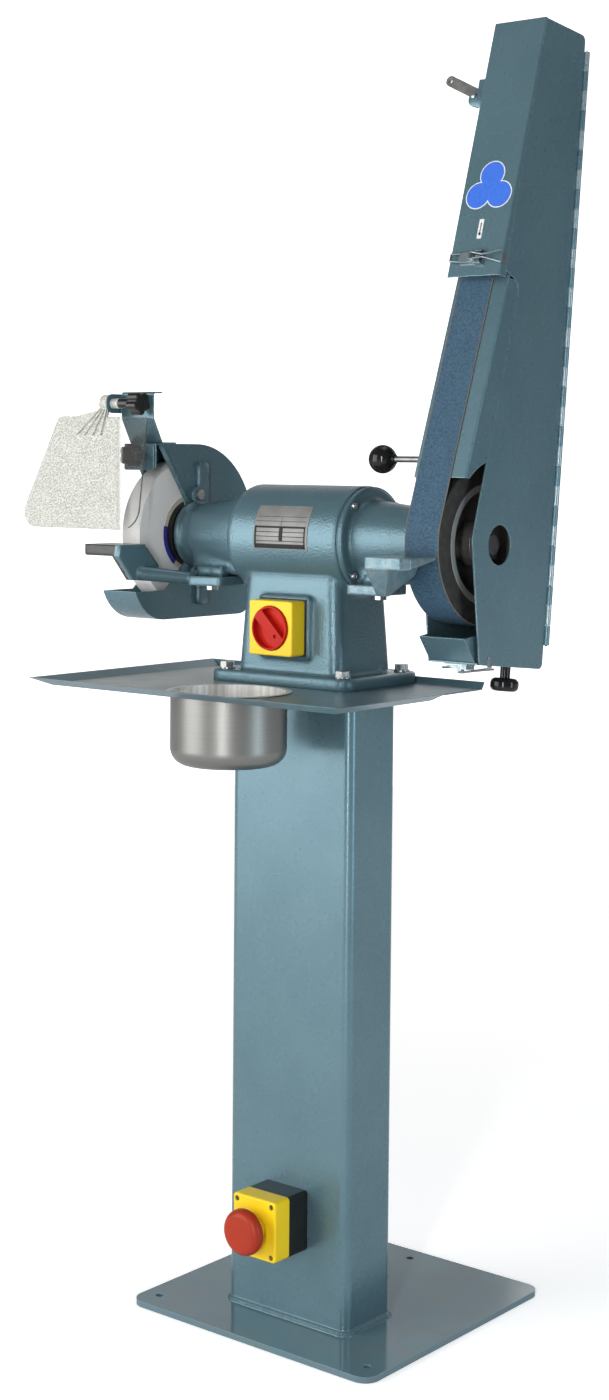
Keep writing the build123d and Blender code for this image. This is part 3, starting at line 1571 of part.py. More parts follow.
pieces = {
    "base_plate": base_plate(),
    "column": column(),
    "top_plate": top_plate(),
    "drip_tray": drip_tray(),
    "water_pot": water_pot(),
    "motor_housing": motor_housing(),
    "end_bell": end_bell(),
    "end_bell_screws": end_bell_screws(),
    "foot_bolts": foot_bolts(),
    "stator": stator(),
    "rotor": rotor(),
    "shaft": shaft(),
    "shaft_bearings": shaft_bearings(),
    "switch_box": switch_box(),
    "switch_knob": switch_knob(),
    "grinding_wheel": grinding_wheel(),
    "wheel_blotters": wheel_blotters(),
    "wheel_flanges": wheel_flanges(),
    "wheel_nut": wheel_nut(),
    "wheel_guard": wheel_guard(),
    "guard_cover": guard_cover(),
    "guard_screws": guard_screws(),
    "left_rest": left_rest(),
    "right_rest": right_rest(),
    "rest_bolts": rest_bolts(),
    "spark_deflector": spark_deflector(),
    "deflector_knob": deflector_knob(),
    "shield_bracket": shield_bracket(),
    "eye_shield": eye_shield(),
    "shield_knob": shield_knob(),
    "estop_base": estop_base(),
    "estop_cover": estop_cover(),
    "estop_button": estop_button(),
    "belt_housing": belt_housing(),
    "front_cover": front_cover(),
    "belt_door": belt_door(),
    "hinge_fixed": hinge_fixed(),
    "hinge_moving": hinge_moving(),
    "hinge_pin": hinge_pin(),
    "platen": platen(),
    "spark_chute": spark_chute(),
    "bottom_knob": bottom_knob(),
    "abrasive_belt": abrasive_belt(),
    "contact_hub": contact_hub(),
    "contact_tyre": contact_tyre(),
    "contact_nut": contact_nut(),
    "idler_wheel": idler_wheel(),
    "idler_bearings": idler_bearings(),
    "idler_yoke": idler_yoke(),
    "tension_bar": tension_bar(),
    "tension_spring": tension_spring(),
    "tension_lever": tension_lever(),
    "ball_knob": ball_knob(),
    "tracking_lever": tracking_lever(),
    "latch_bases": latch_bases(),
    "front_latch_lever": at(front_latch_plane(), latch_lever(front_latch_reach)),
    "front_latch_loop": at(front_latch_plane(), latch_loop()),
    "bottom_latch_lever": at(bottom_latch_plane(), latch_lever(bottom_latch_reach)),
    "bottom_latch_loop": at(bottom_latch_plane(), latch_loop()),
    "latch_catches": latch_catches(),
}

for name, shape in pieces.items():
    export_step(shape, f"parts/{name}.step")
    print(name, len(shape.solids()))
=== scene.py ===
import json
import math

import bpy
from mathutils import Euler, Matrix, Vector


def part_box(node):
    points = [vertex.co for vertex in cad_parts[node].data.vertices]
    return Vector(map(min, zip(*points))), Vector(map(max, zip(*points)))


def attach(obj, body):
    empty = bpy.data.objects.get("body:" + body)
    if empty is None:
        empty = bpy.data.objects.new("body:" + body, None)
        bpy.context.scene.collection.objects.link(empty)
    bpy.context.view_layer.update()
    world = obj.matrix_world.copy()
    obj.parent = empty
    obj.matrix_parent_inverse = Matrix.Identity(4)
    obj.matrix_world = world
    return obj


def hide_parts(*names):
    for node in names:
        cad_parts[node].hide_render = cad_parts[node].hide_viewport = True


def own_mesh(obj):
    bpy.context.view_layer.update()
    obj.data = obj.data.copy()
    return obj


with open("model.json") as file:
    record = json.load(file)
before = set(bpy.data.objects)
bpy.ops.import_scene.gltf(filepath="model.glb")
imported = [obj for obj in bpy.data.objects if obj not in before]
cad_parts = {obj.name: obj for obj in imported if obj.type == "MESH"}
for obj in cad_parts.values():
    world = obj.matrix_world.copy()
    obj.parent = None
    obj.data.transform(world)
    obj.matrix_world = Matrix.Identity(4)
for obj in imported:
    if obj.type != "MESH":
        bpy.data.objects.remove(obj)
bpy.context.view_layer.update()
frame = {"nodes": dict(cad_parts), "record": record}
nodes_by_name = frame["nodes"]
joint_rows = {row["name"]: row for row in frame["record"]["behaviour"]["joints"]}
shaft = Vector(joint_rows["spindle_spin"]["pos_m"])

# Camera of the photograph
camera_place = Vector((1.7691, -2.3392, 1.1510))
camera_turn = math.radians(40.5155)
camera_dip = math.radians(2.5928)
camera_roll = math.radians(0.3787)
camera_lens = 56.138
camera_sensor = 36
camera_shift = (0.0648, -0.1062)

# Enamel colours, linear
enamel_light = (0.118, 0.205, 0.242, 1)
enamel_dark = (0.104, 0.186, 0.222, 1)
# Lighter enamel on the edges: a painted highlight
enamel_edge_highlight = (0.250, 0.370, 0.410, 1)
enamel_dusty = (0.135, 0.150, 0.143, 1)
bare_iron = (0.260, 0.310, 0.320, 1)
table_end_grey = (0.047, 0.050, 0.048, 1)
tray_dust = (0.400, 0.400, 0.370, 1)

# How strongly the white surround lights the part, and how much of it, the floor and the wall shows in gloss
surround_light = 0.11
surround_gloss = 0.08
floor_gloss = 0.6
wall_gloss = 0.26

# Floor: its size, its glow to the eye, and how far from the origin its white starts and is full
floor_size = 30
floor_drop = 0.0005
floor_glow = 0.46
floor_white_start = 0.55
floor_white_full = 1.5

# Wall behind the part
wall_size = 5.0
wall_away = 4.6
wall_height = 2.4

# Eye shield: pebbled left of the first x and clear right of the second at this height, on a lean
shield_pebbled = -0.2400
shield_clear = -0.2290
shield_height = 1.146
shield_fade_lean = 0.25

# Left rest's table: dark grey left of the first x, enamelled right of the second
table_grey_end = -0.2165
table_enamelled = -0.2135

# Shield knob: grey clamp left of the first x, black knob right of the second
clamp_end = -0.2545
knob_start = -0.2540

# Drip tray: dusty left of the first x, almost clean right of the second
tray_dusty = -0.06
tray_clean = 0.08

# Belt path: the loop round the contact wheel and the idler
belt_lean = math.radians(13.2)
belt_centres = 0.592
belt_low_radius = 0.1003
belt_high_radius = 0.0312
belt_thick = 0.001
belt_line = Vector((0, math.sin(belt_lean), math.cos(belt_lean)))

# Belt's slanting splice: its height where x is 0, half its width, and its slant
splice_height = 1.530
splice_half = 0.004
splice_slant = 0.9

# Tension spring, along the belt line from the shaft
spring_start = 0.266
spring_end = 0.350
spring_radius = 0.0153
spring_wire = 0.0016
spring_turns = 11

# Nameplate on the motor, angles up from level in degrees
motor_radius = 0.070
plate_left = -0.048
plate_right = 0.041
plate_low = -11
plate_high = 38
plate_thick = 0.0005
rule_thick = 0.00012

# Column's rounded corner and the weld round its foot
column_corner = 0.0125
weld_size = 0.006
ripple_size = (0.0050, 0.0030, 0.0050)
ripple_step = 0.0026
weld_sunk = 0.0006
weld_grain = 0.0009

# Collar that stands on the stop cover's face, and the cover's screws from its middle
stop_collar = 0.010
screw_aside = 0.0285
screw_above = 0.033
screw_radius = 0.0028
screw_rise = 0.0016
screw_sunk = 0.0016

# Switch gasket
gasket_thick = 0.0022
gasket_proud = 0.0018

# Tracking lever's bracket, its round nose and its bolt, placed by x, up the belt line and across it
bracket_size = (0.0305, 0.0380, 0.0030)
bracket_place = (0.1970, 0.5832, -0.0345)
nose_radius = 0.0105
nose_thick = 0.0034
nose_place = (0.1795, 0.5765, -0.0345)
bolt_radius = 0.0042
bolt_rise = 0.0030
bolt_place = (0.1772, 0.5806, -0.0375)

# Front cover's face, leaning back
cover_lean = math.radians(17.23)
cover_foot = Vector((0, -0.07237, 1.3708))

# Direction sticker on the front cover by x and height, and its arrow
sticker_place = (0.2482, 1.4305)
sticker_size = (0.0068, 0.0260)
sticker_corner = 0.0012
sticker_thick = 0.00015
sticker_lift = 0.0001
arrow_head = 0.0029
arrow_head_drop = 0.0068
arrow_stem = (0.0013, 0.0140)
arrow_stem_rise = 0.0012
arrow_thick = 0.00012
arrow_lift = 0.00026

# Round films on the front cover by x and height, blue faces on white rims
film_places = [(0.2511, 1.4995), (0.2356, 1.4735), (0.2664, 1.4735)]
film_middle = (0.2511, 1.4822)
film_rim = 0.0182
film_rim_lift = 0.00008
film_face = 0.0168
film_face_lift = 0.00024


def grey(level):
    return (level, level, level, 1)


def middle_of(node):
    """Middle of a CAD node's box."""
    low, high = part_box(node)
    return [(start + end) / 2 for start, end in zip(low, high)]


def new_finish(name):
    """A material with its node tree and its main shader."""
    material = bpy.data.materials.new(name)
    material.use_nodes = True
    tree = material.node_tree
    return material, tree, tree.nodes["Principled BSDF"]


def set_plain(shader, **values):
    """Sets sockets that are the same all over the surface."""
    for socket, value in values.items():
        shader.inputs[socket.replace("_", " ")].default_value = value


def object_place(tree):
    return tree.nodes.new("ShaderNodeTexCoord").outputs["Object"]


def face_normal(tree):
    return tree.nodes.new("ShaderNodeNewGeometry").outputs["Normal"]


def moved_place(tree, shift=(0, 0, 0), scale=(1, 1, 1)):
    """Object coordinates, moved and stretched by a Mapping node."""
    mapping = tree.nodes.new("ShaderNodeMapping")
    mapping.inputs["Location"].default_value = shift
    mapping.inputs["Scale"].default_value = scale
    tree.links.new(object_place(tree), mapping.inputs["Vector"])
    return mapping.outputs["Vector"]


def noise_at(tree, place, scale, detail=2.0):
    texture = tree.nodes.new("ShaderNodeTexNoise")
    texture.inputs["Scale"].default_value = scale
    texture.inputs["Detail"].default_value = detail
    tree.links.new(place, texture.inputs["Vector"])
    return texture.outputs["Fac"]


def noise(tree, scale, detail=2.0, stretch=None):
    place = moved_place(tree, scale=stretch) if stretch else object_place(tree)
    return noise_at(tree, place, scale, detail)


def ramp(tree, value, stops, steps=False):
    """Colours between the stops, each a place from 0 to 1 and a colour."""
    node = tree.nodes.new("ShaderNodeValToRGB")
    elements = node.color_ramp.elements
    while len(elements) < len(stops):
        elements.new(0.5)
    for element, (place, colour) in zip(elements, stops):
        element.position = place
        element.color = colour
    if steps:
        node.color_ramp.interpolation = "CONSTANT"
    tree.links.new(value, node.inputs["Fac"])
    return node.outputs["Color"]


def spread(tree, value, low, high, start=0.0, end=1.0):
    """The value, stretched from start..end to low..high."""
    node = tree.nodes.new("ShaderNodeMapRange")
    for socket, number in (("From Min", start), ("From Max", end), ("To Min", low), ("To Max", high)):
        node.inputs[socket].default_value = number
    tree.links.new(value, node.inputs["Value"])
    return node.outputs["Result"]


def combined(tree, kind, first, second):
    """Two values put together by one step of arithmetic."""
    node = tree.nodes.new("ShaderNodeMath")
    node.operation = kind
    tree.links.new(first, node.inputs[0])
    tree.links.new(second, node.inputs[1])
    return node.outputs["Value"]


def distance(tree, value, place):
    """How far the value is from the place, on either side."""
    away = tree.nodes.new("ShaderNodeMath")
    away.operation = "SUBTRACT"
    away.inputs[1].default_value = place
    tree.links.new(value, away.inputs[0])
    plain = tree.nodes.new("ShaderNodeMath")
    plain.operation = "ABSOLUTE"
    tree.links.new(away.outputs["Value"], plain.inputs[0])
    return plain.outputs["Value"]


def vector_step(tree, kind, first):
    """A node that does one step of arithmetic on a vector."""
    node = tree.nodes.new("ShaderNodeVectorMath")
    node.operation = kind
    tree.links.new(first, node.inputs[0])
    return node


def length(tree, vector):
    return vector_step(tree, "LENGTH", vector).outputs["Value"]


def dot(tree, first, second):
    """Dot product with another vector, which is linked, or with fixed numbers."""
    node = vector_step(tree, "DOT_PRODUCT", first)
    if isinstance(second, tuple):
        node.inputs[1].default_value = second
    else:
        tree.links.new(second, node.inputs[1])
    return node.outputs["Value"]


def component(tree, vector, axis):
    parts = tree.nodes.new("ShaderNodeSeparateXYZ")
    tree.links.new(vector, parts.inputs["Vector"])
    return parts.outputs[axis]


def along(tree, axis):
    return component(tree, object_place(tree), axis)


def mix(tree, share, first, second):
    """The first colour where the share is 0, the second where it is 1."""
    node = tree.nodes.new("ShaderNodeMix")
    node.data_type = "RGBA"
    tree.links.new(share, node.inputs["Factor"])
    for socket, colour in (("A", first), ("B", second)):
        target = [s for s in node.inputs if s.name == socket and s.type == "RGBA"][0]
        if isinstance(colour, tuple):
            target.default_value = colour
        else:
            tree.links.new(colour, target)
    return [s for s in node.outputs if s.type == "RGBA"][0]


def rounded_normal(tree, radius, samples):
    """Normal that runs smoothly over sharp edges."""
    bevel = tree.nodes.new("ShaderNodeBevel")
    bevel.samples = samples
    bevel.inputs["Radius"].default_value = radius
    return bevel.outputs["Normal"]


def edge_mask(tree, radius, gain):
    """1 on edges, 0 on flat faces: the worn edges, and the edges painted lighter as a painted highlight."""
    flatness = dot(tree, rounded_normal(tree, radius, 4), face_normal(tree))
    return spread(tree, flatness, 0.0, 1.0, 1.0, 1.0 - gain)


def relief(tree, shader, layers, edge=0.0007):
    """Bump layers, each a height and a depth in metres, on a normal that rounds sharp edges."""
    normal = rounded_normal(tree, edge, 8)
    for height, depth in layers:
        bump = tree.nodes.new("ShaderNodeBump")
        bump.inputs["Distance"].default_value = depth
        tree.links.new(height, bump.inputs["Height"])
        tree.links.new(normal, bump.inputs["Normal"])
        normal = bump.outputs["Normal"]
    tree.links.new(normal, shader.inputs["Normal"])


def beside_shaft(tree):
    """Place across the shaft's axis: Y towards the front and Z up."""
    return moved_place(tree, shift=(0, shaft.y, -shaft.z), scale=(0, -1, 1))


def shaft_angle(tree):
    """Angle round the shaft, up from level at its front."""
    place = beside_shaft(tree)
    return combined(tree, "ARCTAN2", component(tree, place, "Z"), component(tree, place, "Y"))


def enamel_base(tree, edge_width=0.0016, edge_highlight_share=0.6):
    """Blue-grey enamel: slow colour drift, and lighter colour on the edges as a painted highlight."""
    drift = ramp(tree, noise(tree, 9, 3), [(0.35, enamel_dark), (0.65, enamel_light)])
    # Edges painted lighter: a painted highlight
    edge_highlight = spread(tree, edge_mask(tree, edge_width, 0.22), 0.0, edge_highlight_share)
    return mix(tree, edge_highlight, drift, enamel_edge_highlight)


def enamel_coat(tree, shader, colour, rough, layers, edge=0.0012):
    """Glossy coat; each layer of its relief is a noise scale and a depth."""
    tree.links.new(colour, shader.inputs["Base Color"])
    gloss = spread(tree, noise(tree, 40, 3), rough - 0.02, rough + 0.03)
    tree.links.new(gloss, shader.inputs["Roughness"])
    set_plain(shader, Specular_IOR_Level=0.35, Metallic=0.38)
    heights = [(noise(tree, scale, 3), depth) for scale, depth in layers]
    relief(tree, shader, heights, edge)


def sheet_enamel():
    """Enamel on folded sheet: fine orange peel."""
    material, tree, shader = new_finish("enamel_sheet")
    enamel_coat(tree, shader, enamel_base(tree), 0.27, [(520, 0.00003)])
    return material


def cast_enamel():
    """Enamel on castings: the sand's grain shows through."""
    material, tree, shader = new_finish("enamel_cast")
    enamel_coat(tree, shader, enamel_base(tree, 0.0016, 0.12), 0.25, [(380, 0.00060)], 0.011)
    return material


def worn_enamel():
    """Enamel that is rubbed through to bare iron in patches and along the edges."""
    material, tree, shader = new_finish("enamel_worn")
    patch = spread(tree, noise(tree, 90, 5), 0.0, 0.45, 0.42, 0.62)
    worn = combined(tree, "MAXIMUM", patch, edge_mask(tree, 0.0035, 0.3))
    colour = mix(tree, worn, enamel_base(tree), bare_iron)
    enamel_coat(tree, shader, colour, 0.25, [(140, 0.0006), (480, 0.00045)], 0.004)
    return material


def grey_end_table():
    """Cast enamel whose outer table end is dark grey."""
    material, tree, shader = new_finish("enamel_grey_end")
    border_noise = spread(tree, noise(tree, 110, 4), -0.004, 0.004)
    place = combined(tree, "ADD", along(tree, "X"), border_noise)
    bare = spread(tree, place, 1.0, 0.0, table_grey_end, table_enamelled)
    edges = spread(tree, edge_mask(tree, 0.003, 0.3), 0.0, 0.7)
    worn = combined(tree, "MAXIMUM", bare, edges)
    tone = mix(tree, bare, bare_iron, table_end_grey)
    colour = mix(tree, worn, enamel_base(tree), tone)
    enamel_coat(tree, shader, colour, 0.26, [(140, 0.0004), (420, 0.0004)], 0.005)
    return material


def knob_on_bolt():
    """Black knob on a grey bolt whose clamp shows on the left."""
    material, tree, shader = new_finish("knob_on_bolt")
    left = spread(tree, along(tree, "X"), 1.0, 0.0, clamp_end, knob_start)
    streak = noise(tree, 420, 2, (1, 0.02, 0.02))
    ribs = ramp(tree, streak, [(0.35, (0.22, 0.23, 0.22, 1)), (0.65, (0.62, 0.63, 0.61, 1))])
    tree.links.new(mix(tree, left, grey(0.012), ribs), shader.inputs["Base Color"])
    tree.links.new(spread(tree, noise(tree, 120, 2), 0.18, 0.30), shader.inputs["Roughness"])
    set_plain(shader, Specular_IOR_Level=0.4)
    relief(tree, shader, [(noise(tree, 900, 2), 0.00005)])
    return material


def plate_enamel():
    """Thick glossy enamel on the foot plate, flat enough to mirror the column."""
    material, tree, shader = new_finish("enamel_plate")
    dust = spread(tree, noise(tree, 18, 5), 0.0, 0.35, 0.42, 0.66)
    tree.links.new(mix(tree, dust, enamel_base(tree), enamel_dusty), shader.inputs["Base Color"])
    tree.links.new(spread(tree, noise(tree, 30, 4), 0.08, 0.16), shader.inputs["Roughness"])
    set_plain(shader, Specular_IOR_Level=0.5, Metallic=0.0)
    relief(tree, shader, [(noise(tree, 420, 3), 0.00003)], 0.0012)
    return material


def tray_enamel():
    """Enamel under grinding dust: beige on the flat floor on the wheel's side, where the dust falls."""
    material, tree, shader = new_finish("enamel_dusty")
    fallen = spread(tree, noise(tree, 14, 5), 0.45, 0.95, 0.3, 0.7)
    wheel_side = spread(tree, along(tree, "X"), 1.0, 0.15, tray_dusty, tray_clean)
    level = spread(tree, component(tree, face_normal(tree), "Z"), 0.0, 1.0, 0.955, 0.985)
    dust = combined(tree, "MULTIPLY", combined(tree, "MULTIPLY", fallen, wheel_side), level)
    colour = mix(tree, dust, enamel_base(tree, 0.0025), tray_dust)
    enamel_coat(tree, shader, colour, 0.33, [(520, 0.00008)])
    return material


def moulding(name, colour, darker, rough, grain_depth, shine=0.28):
    """Moulded plastic with a fine spark-eroded grain."""
    material, tree, shader = new_finish(name)
    drift = ramp(tree, noise(tree, 30, 3), [(0.3, darker), (0.7, colour)])
    tree.links.new(drift, shader.inputs["Base Color"])
    gloss = spread(tree, noise(tree, 120, 2), rough - 0.05, rough + 0.05)
    tree.links.new(gloss, shader.inputs["Roughness"])
    set_plain(shader, Specular_IOR_Level=shine)
    relief(tree, shader, [(noise(tree, 1600, 2), grain_depth)], 0.0006)
    return material


def metal(name, colour, darker, rough, scale=300, stretch=None, metallic=0.85):
    """Bare metal with drawn or turned marks."""
    material, tree, shader = new_finish(name)
    drift = ramp(tree, noise(tree, 60, 3), [(0.3, darker), (0.7, colour)])
    streak = noise(tree, scale, 3, stretch)
    marks = spread(tree, streak, 0.0, 0.45, 0.4, 0.7)
    tree.links.new(mix(tree, marks, drift, darker), shader.inputs["Base Color"])
    tree.links.new(spread(tree, streak, rough - 0.08, rough + 0.1), shader.inputs["Roughness"])
    set_plain(shader, Metallic=metallic)
    relief(tree, shader, [(streak, 0.00002)], 0.0005)
    return material


def spun_pot():
    """Spun steel pot: turned streaks; its inside painted brighter than its outside, a painted reflection of
    the white surround.
    """
    material, tree, shader = new_finish("spun_steel")
    middle = middle_of("water_pot")
    normal = face_normal(tree)
    outwards = vector_step(tree, "NORMALIZE", moved_place(tree, (-middle[0], -middle[1], 0), (1, 1, 0)))
    facing = dot(tree, outwards.outputs["Vector"], normal)
    outside = combined(tree, "SUBTRACT", facing, component(tree, normal, "Z"))
    inside = spread(tree, outside, 1.0, 0.0, -0.5, -0.2)
    streak = noise(tree, 300, 3, (0.06, 0.06, 5.0))
    dull = ramp(tree, streak, [(0.35, (0.195, 0.195, 0.186, 1)), (0.65, (0.215, 0.215, 0.205, 1))])
    ribs = noise(tree, 260, 2, (1, 1, 0.02))
    # Pale inside colour: a painted reflection of the white surround
    bright = ramp(tree, ribs, [(0.35, (0.66, 0.65, 0.62, 1)), (0.65, (0.86, 0.85, 0.82, 1))])
    tree.links.new(mix(tree, inside, dull, bright), shader.inputs["Base Color"])
    tree.links.new(spread(tree, streak, 0.34, 0.44), shader.inputs["Roughness"])
    tree.links.new(spread(tree, inside, 0.9, 0.55), shader.inputs["Metallic"])
    relief(tree, shader, [(streak, 0.00001)], 0.0005)
    return material


def bonded_grit():
    """White bonded grit: pores and pale and darker grains."""
    material, tree, shader = new_finish("bonded_grit")
    grain = noise(tree, 1100, 4)
    fine = ramp(tree, grain, [(0.32, (0.88, 0.875, 0.86, 1)), (0.55, (0.95, 0.945, 0.93, 1)),
                              (0.8, (0.97, 0.965, 0.95, 1))])
    loaded = spread(tree, noise(tree, 25, 4), 0.0, 0.5, 0.45, 0.75)
    tree.links.new(mix(tree, loaded, fine, (0.88, 0.87, 0.84, 1)), shader.inputs["Base Color"])
    set_plain(shader, Roughness=0.9)
    relief(tree, shader, [(grain, 0.0005)])
    return material


def coated_abrasive():
    """Blue coated abrasive: grains and their clusters on a cloth, a slanting splice and frayed edges."""
    material, tree, shader = new_finish("abrasive_blue")
    grain = noise(tree, 1300, 3)
    cluster = noise(tree, 330, 4)
    fine = ramp(tree, grain, [(0.3, (0.014, 0.046, 0.092, 1)), (0.55, (0.032, 0.084, 0.138, 1)),
                              (0.75, (0.080, 0.165, 0.235, 1))])
    clumps = ramp(tree, cluster, [(0.36, (0.018, 0.052, 0.098, 1)), (0.62, (0.060, 0.130, 0.190, 1))])
    share = spread(tree, noise(tree, 40, 3), 0.35, 0.75)
    slant = dot(tree, moved_place(tree, scale=(splice_slant, 0, 1)), (1, 0, 1))
    seam_place = spread(tree, slant, 0.0, 1.0, splice_height - splice_half, splice_height + splice_half)
    seam = ramp(tree, seam_place, [(0.42, grey(0)), (0.50, grey(0.55)), (0.58, grey(0))])
    low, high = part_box("abrasive_belt")
    half = (high[0] - low[0]) / 2
    across = distance(tree, along(tree, "X"), middle_of("abrasive_belt")[0])
    frayed = spread(tree, across, 0.0, 0.65, half - 0.0011, half - 0.0006)
    cloth = mix(tree, share, fine, clumps)
    spliced = mix(tree, seam, cloth, (0.20, 0.15, 0.09, 1))
    tree.links.new(mix(tree, frayed, spliced, (0.26, 0.16, 0.07, 1)), shader.inputs["Base Color"])
    set_plain(shader, Roughness=0.75)
    relief(tree, shader, [(cluster, 0.0004), (grain, 0.0004)])
    return material


def cloth_backing(name, light, dark):
    """Woven backing, seen on the belt's edge and inside."""
    material, tree, shader = new_finish(name)
    threads = noise(tree, 900, 2, (1, 0.4, 0.4))
    tree.links.new(ramp(tree, threads, [(0.3, dark), (0.7, light)]), shader.inputs["Base Color"])
    set_plain(shader, Roughness=0.85)
    relief(tree, shader, [(threads, 0.0002)])
    return material


def pebbled_clear():
    """Clear plastic: pebbled and milky on its left, plain towards the bracket; its pebble hollows painted
    darker as painted shade, and its cut edge painted dark as painted shade.
    """
    material, tree, shader = new_finish("pebbled_clear")
    texture = tree.nodes.new("ShaderNodeTexVoronoi")
    texture.inputs["Scale"].default_value = 400
    tree.links.new(object_place(tree), texture.inputs["Vector"])
    cells = texture.outputs["Distance"]
    fade = dot(tree, moved_place(tree, shift=(0, 0, -shield_height)), (1, 0, shield_fade_lean))
    left = spread(tree, fade, 1.0, 0.0, shield_pebbled, shield_clear)
    pebble = combined(tree, "MULTIPLY", cells, left)
    cloud = combined(tree, "ADD", cells, noise(tree, 30, 3))
    milk = combined(tree, "MULTIPLY", spread(tree, cloud, 0.62, 0.95, 0.4, 1.1), left)
    facing = tree.nodes.new("ShaderNodeVectorTransform")
    facing.vector_type = "NORMAL"
    facing.convert_from = "WORLD"
    facing.convert_to = "OBJECT"
    tree.links.new(face_normal(tree), facing.inputs["Vector"])
    sideways = distance(tree, component(tree, facing.outputs["Vector"], "X"), 0.0)
    rim = spread(tree, sideways, 0.0, 0.85, 0.35, 0.5)
    # Cut edge painted dark: painted shade
    cut = combined(tree, "MULTIPLY", rim, spread(tree, left, 1.0, 0.0))
    cover = combined(tree, "MAXIMUM", spread(tree, milk, 0.03, 1.0), cut)
    tree.links.new(cover, shader.inputs["Alpha"])
    # Pebble hollows painted darker than their rims: painted shade
    tone = ramp(tree, cells, [(0.1, (0.40, 0.405, 0.365, 1)), (0.6, (0.66, 0.66, 0.61, 1))])
    tree.links.new(mix(tree, cut, tone, grey(0.05)), shader.inputs["Base Color"])
    set_plain(shader, Roughness=0.18, Specular_IOR_Level=0.4)
    relief(tree, shader, [(pebble, 0.0010)])
    return material


def blotter_paper():
    """Paper washer of the wheel: pale, with a plain blue band round its lower front."""
    material, tree, shader = new_finish("blotter_paper")
    fibre = noise(tree, 700, 4)
    paper = ramp(tree, fibre, [(0.3, (0.46, 0.44, 0.36, 1)), (0.7, (0.70, 0.69, 0.62, 1))])
    turn = spread(tree, shaft_angle(tree), 0.0, 1.0, -math.pi, math.pi)
    band = ramp(tree, turn, [(0.0, grey(0)), (0.350, grey(1)), (0.535, grey(0))], True)
    tree.links.new(mix(tree, band, paper, (0.030, 0.035, 0.300, 1)), shader.inputs["Base Color"])
    set_plain(shader, Roughness=0.7)
    relief(tree, shader, [(fibre, 0.0002)])
    return material


def turned_hub():
    """Contact wheel's hub: a bright turned rim, a web painted darker towards the rim as painted shade of its
    deep recess, and a grey boss.
    """
    material, tree, shader = new_finish("turned_hub")
    radius = length(tree, beside_shaft(tree))
    stack = tree.nodes.new("ShaderNodeCombineXYZ")
    tree.links.new(spread(tree, radius, 0.0, 41.0), stack.inputs["X"])
    rings = noise_at(tree, stack.outputs["Vector"], 60)
    place = spread(tree, radius, 0.0, 1.0, 0.0, 0.1)
    # From boss to rim the web darkens: painted shade of the deep recess; the rim is bright turned metal
    tone = ramp(tree, place, [(0.0, (0.34, 0.33, 0.32, 1)), (0.30, (0.26, 0.25, 0.24, 1)),
                              (0.655, (0.16, 0.155, 0.15, 1)), (0.675, (0.74, 0.74, 0.73, 1))])
    marks = spread(tree, rings, 0.0, 0.35, 0.4, 0.7)
    tree.links.new(mix(tree, marks, tone, grey(0.10)), shader.inputs["Base Color"])
    tree.links.new(spread(tree, rings, 0.22, 0.42), shader.inputs["Roughness"])
    set_plain(shader, Metallic=0.8)
    relief(tree, shader, [(rings, 0.00003)])
    return material


def black_rubber():
    """Black rubber under brownish dust."""
    material, tree, shader = new_finish("black_rubber")
    dust = noise(tree, 90, 4)
    tone = ramp(tree, dust, [(0.35, (0.012, 0.011, 0.010, 1)), (0.75, (0.034, 0.030, 0.026, 1))])
    tree.links.new(tone, shader.inputs["Base Color"])
    set_plain(shader, Roughness=0.65)
    relief(tree, shader, [(noise(tree, 900, 3), 0.0002)])
    return material


def printed(name, colour, darker):
    """Printed or painted film with uneven ink."""
    material, tree, shader = new_finish(name)
    ink = ramp(tree, noise(tree, 260, 4), [(0.3, darker), (0.7, colour)])
    tree.links.new(ink, shader.inputs["Base Color"])
    set_plain(shader, Specular_IOR_Level=0.15)
    tree.links.new(spread(tree, noise(tree, 90, 2), 0.34, 0.46), shader.inputs["Roughness"])
    return material


finishes = {
    "enamel": sheet_enamel(),
    "cast_enamel": cast_enamel(),
    "pot_steel": spun_pot(),
    "bright_steel": metal("zinc_plate", (0.58, 0.59, 0.59, 1), (0.34, 0.35, 0.35, 1), 0.26),
    "motor_core": metal("core_steel", (0.35, 0.35, 0.37, 1), (0.25, 0.25, 0.26, 1), 0.45),
    "yellow_plastic": moulding("yellow_shell", (0.95, 0.66, 0.015, 1), (0.92, 0.62, 0.012, 1), 0.34, 0.00002),
    "red_plastic": moulding("red_grip", (0.54, 0.016, 0.008, 1), (0.48, 0.012, 0.006, 1), 0.30, 0.00002,
                            shine=0.10),
    "black_plastic": moulding("black_moulding", grey(0.016), grey(0.010), 0.34, 0.00003),
    "grit": bonded_grit(),
    "paper": blotter_paper(),
    "black_steel": metal("black_oxide", grey(0.05), grey(0.03), 0.45),
    "clear_plastic": pebbled_clear(),
    "aluminium": turned_hub(),
    "black_rubber": black_rubber(),
    "abrasive_cloth": coated_abrasive(),
}
black_gloss = moulding("black_gloss", grey(0.012), grey(0.008), 0.14, 0.00001)
button_red = moulding("button_red", (0.40, 0.036, 0.014, 1), (0.35, 0.030, 0.012, 1), 0.34, 0.00002,
                      shine=0.2)
lever_steel = metal("lever_steel", (0.30, 0.30, 0.29, 1), (0.16, 0.16, 0.155, 1), 0.34)
latch_zinc = metal("latch_zinc", (0.30, 0.36, 0.38, 1), (0.15, 0.19, 0.21, 1), 0.30)
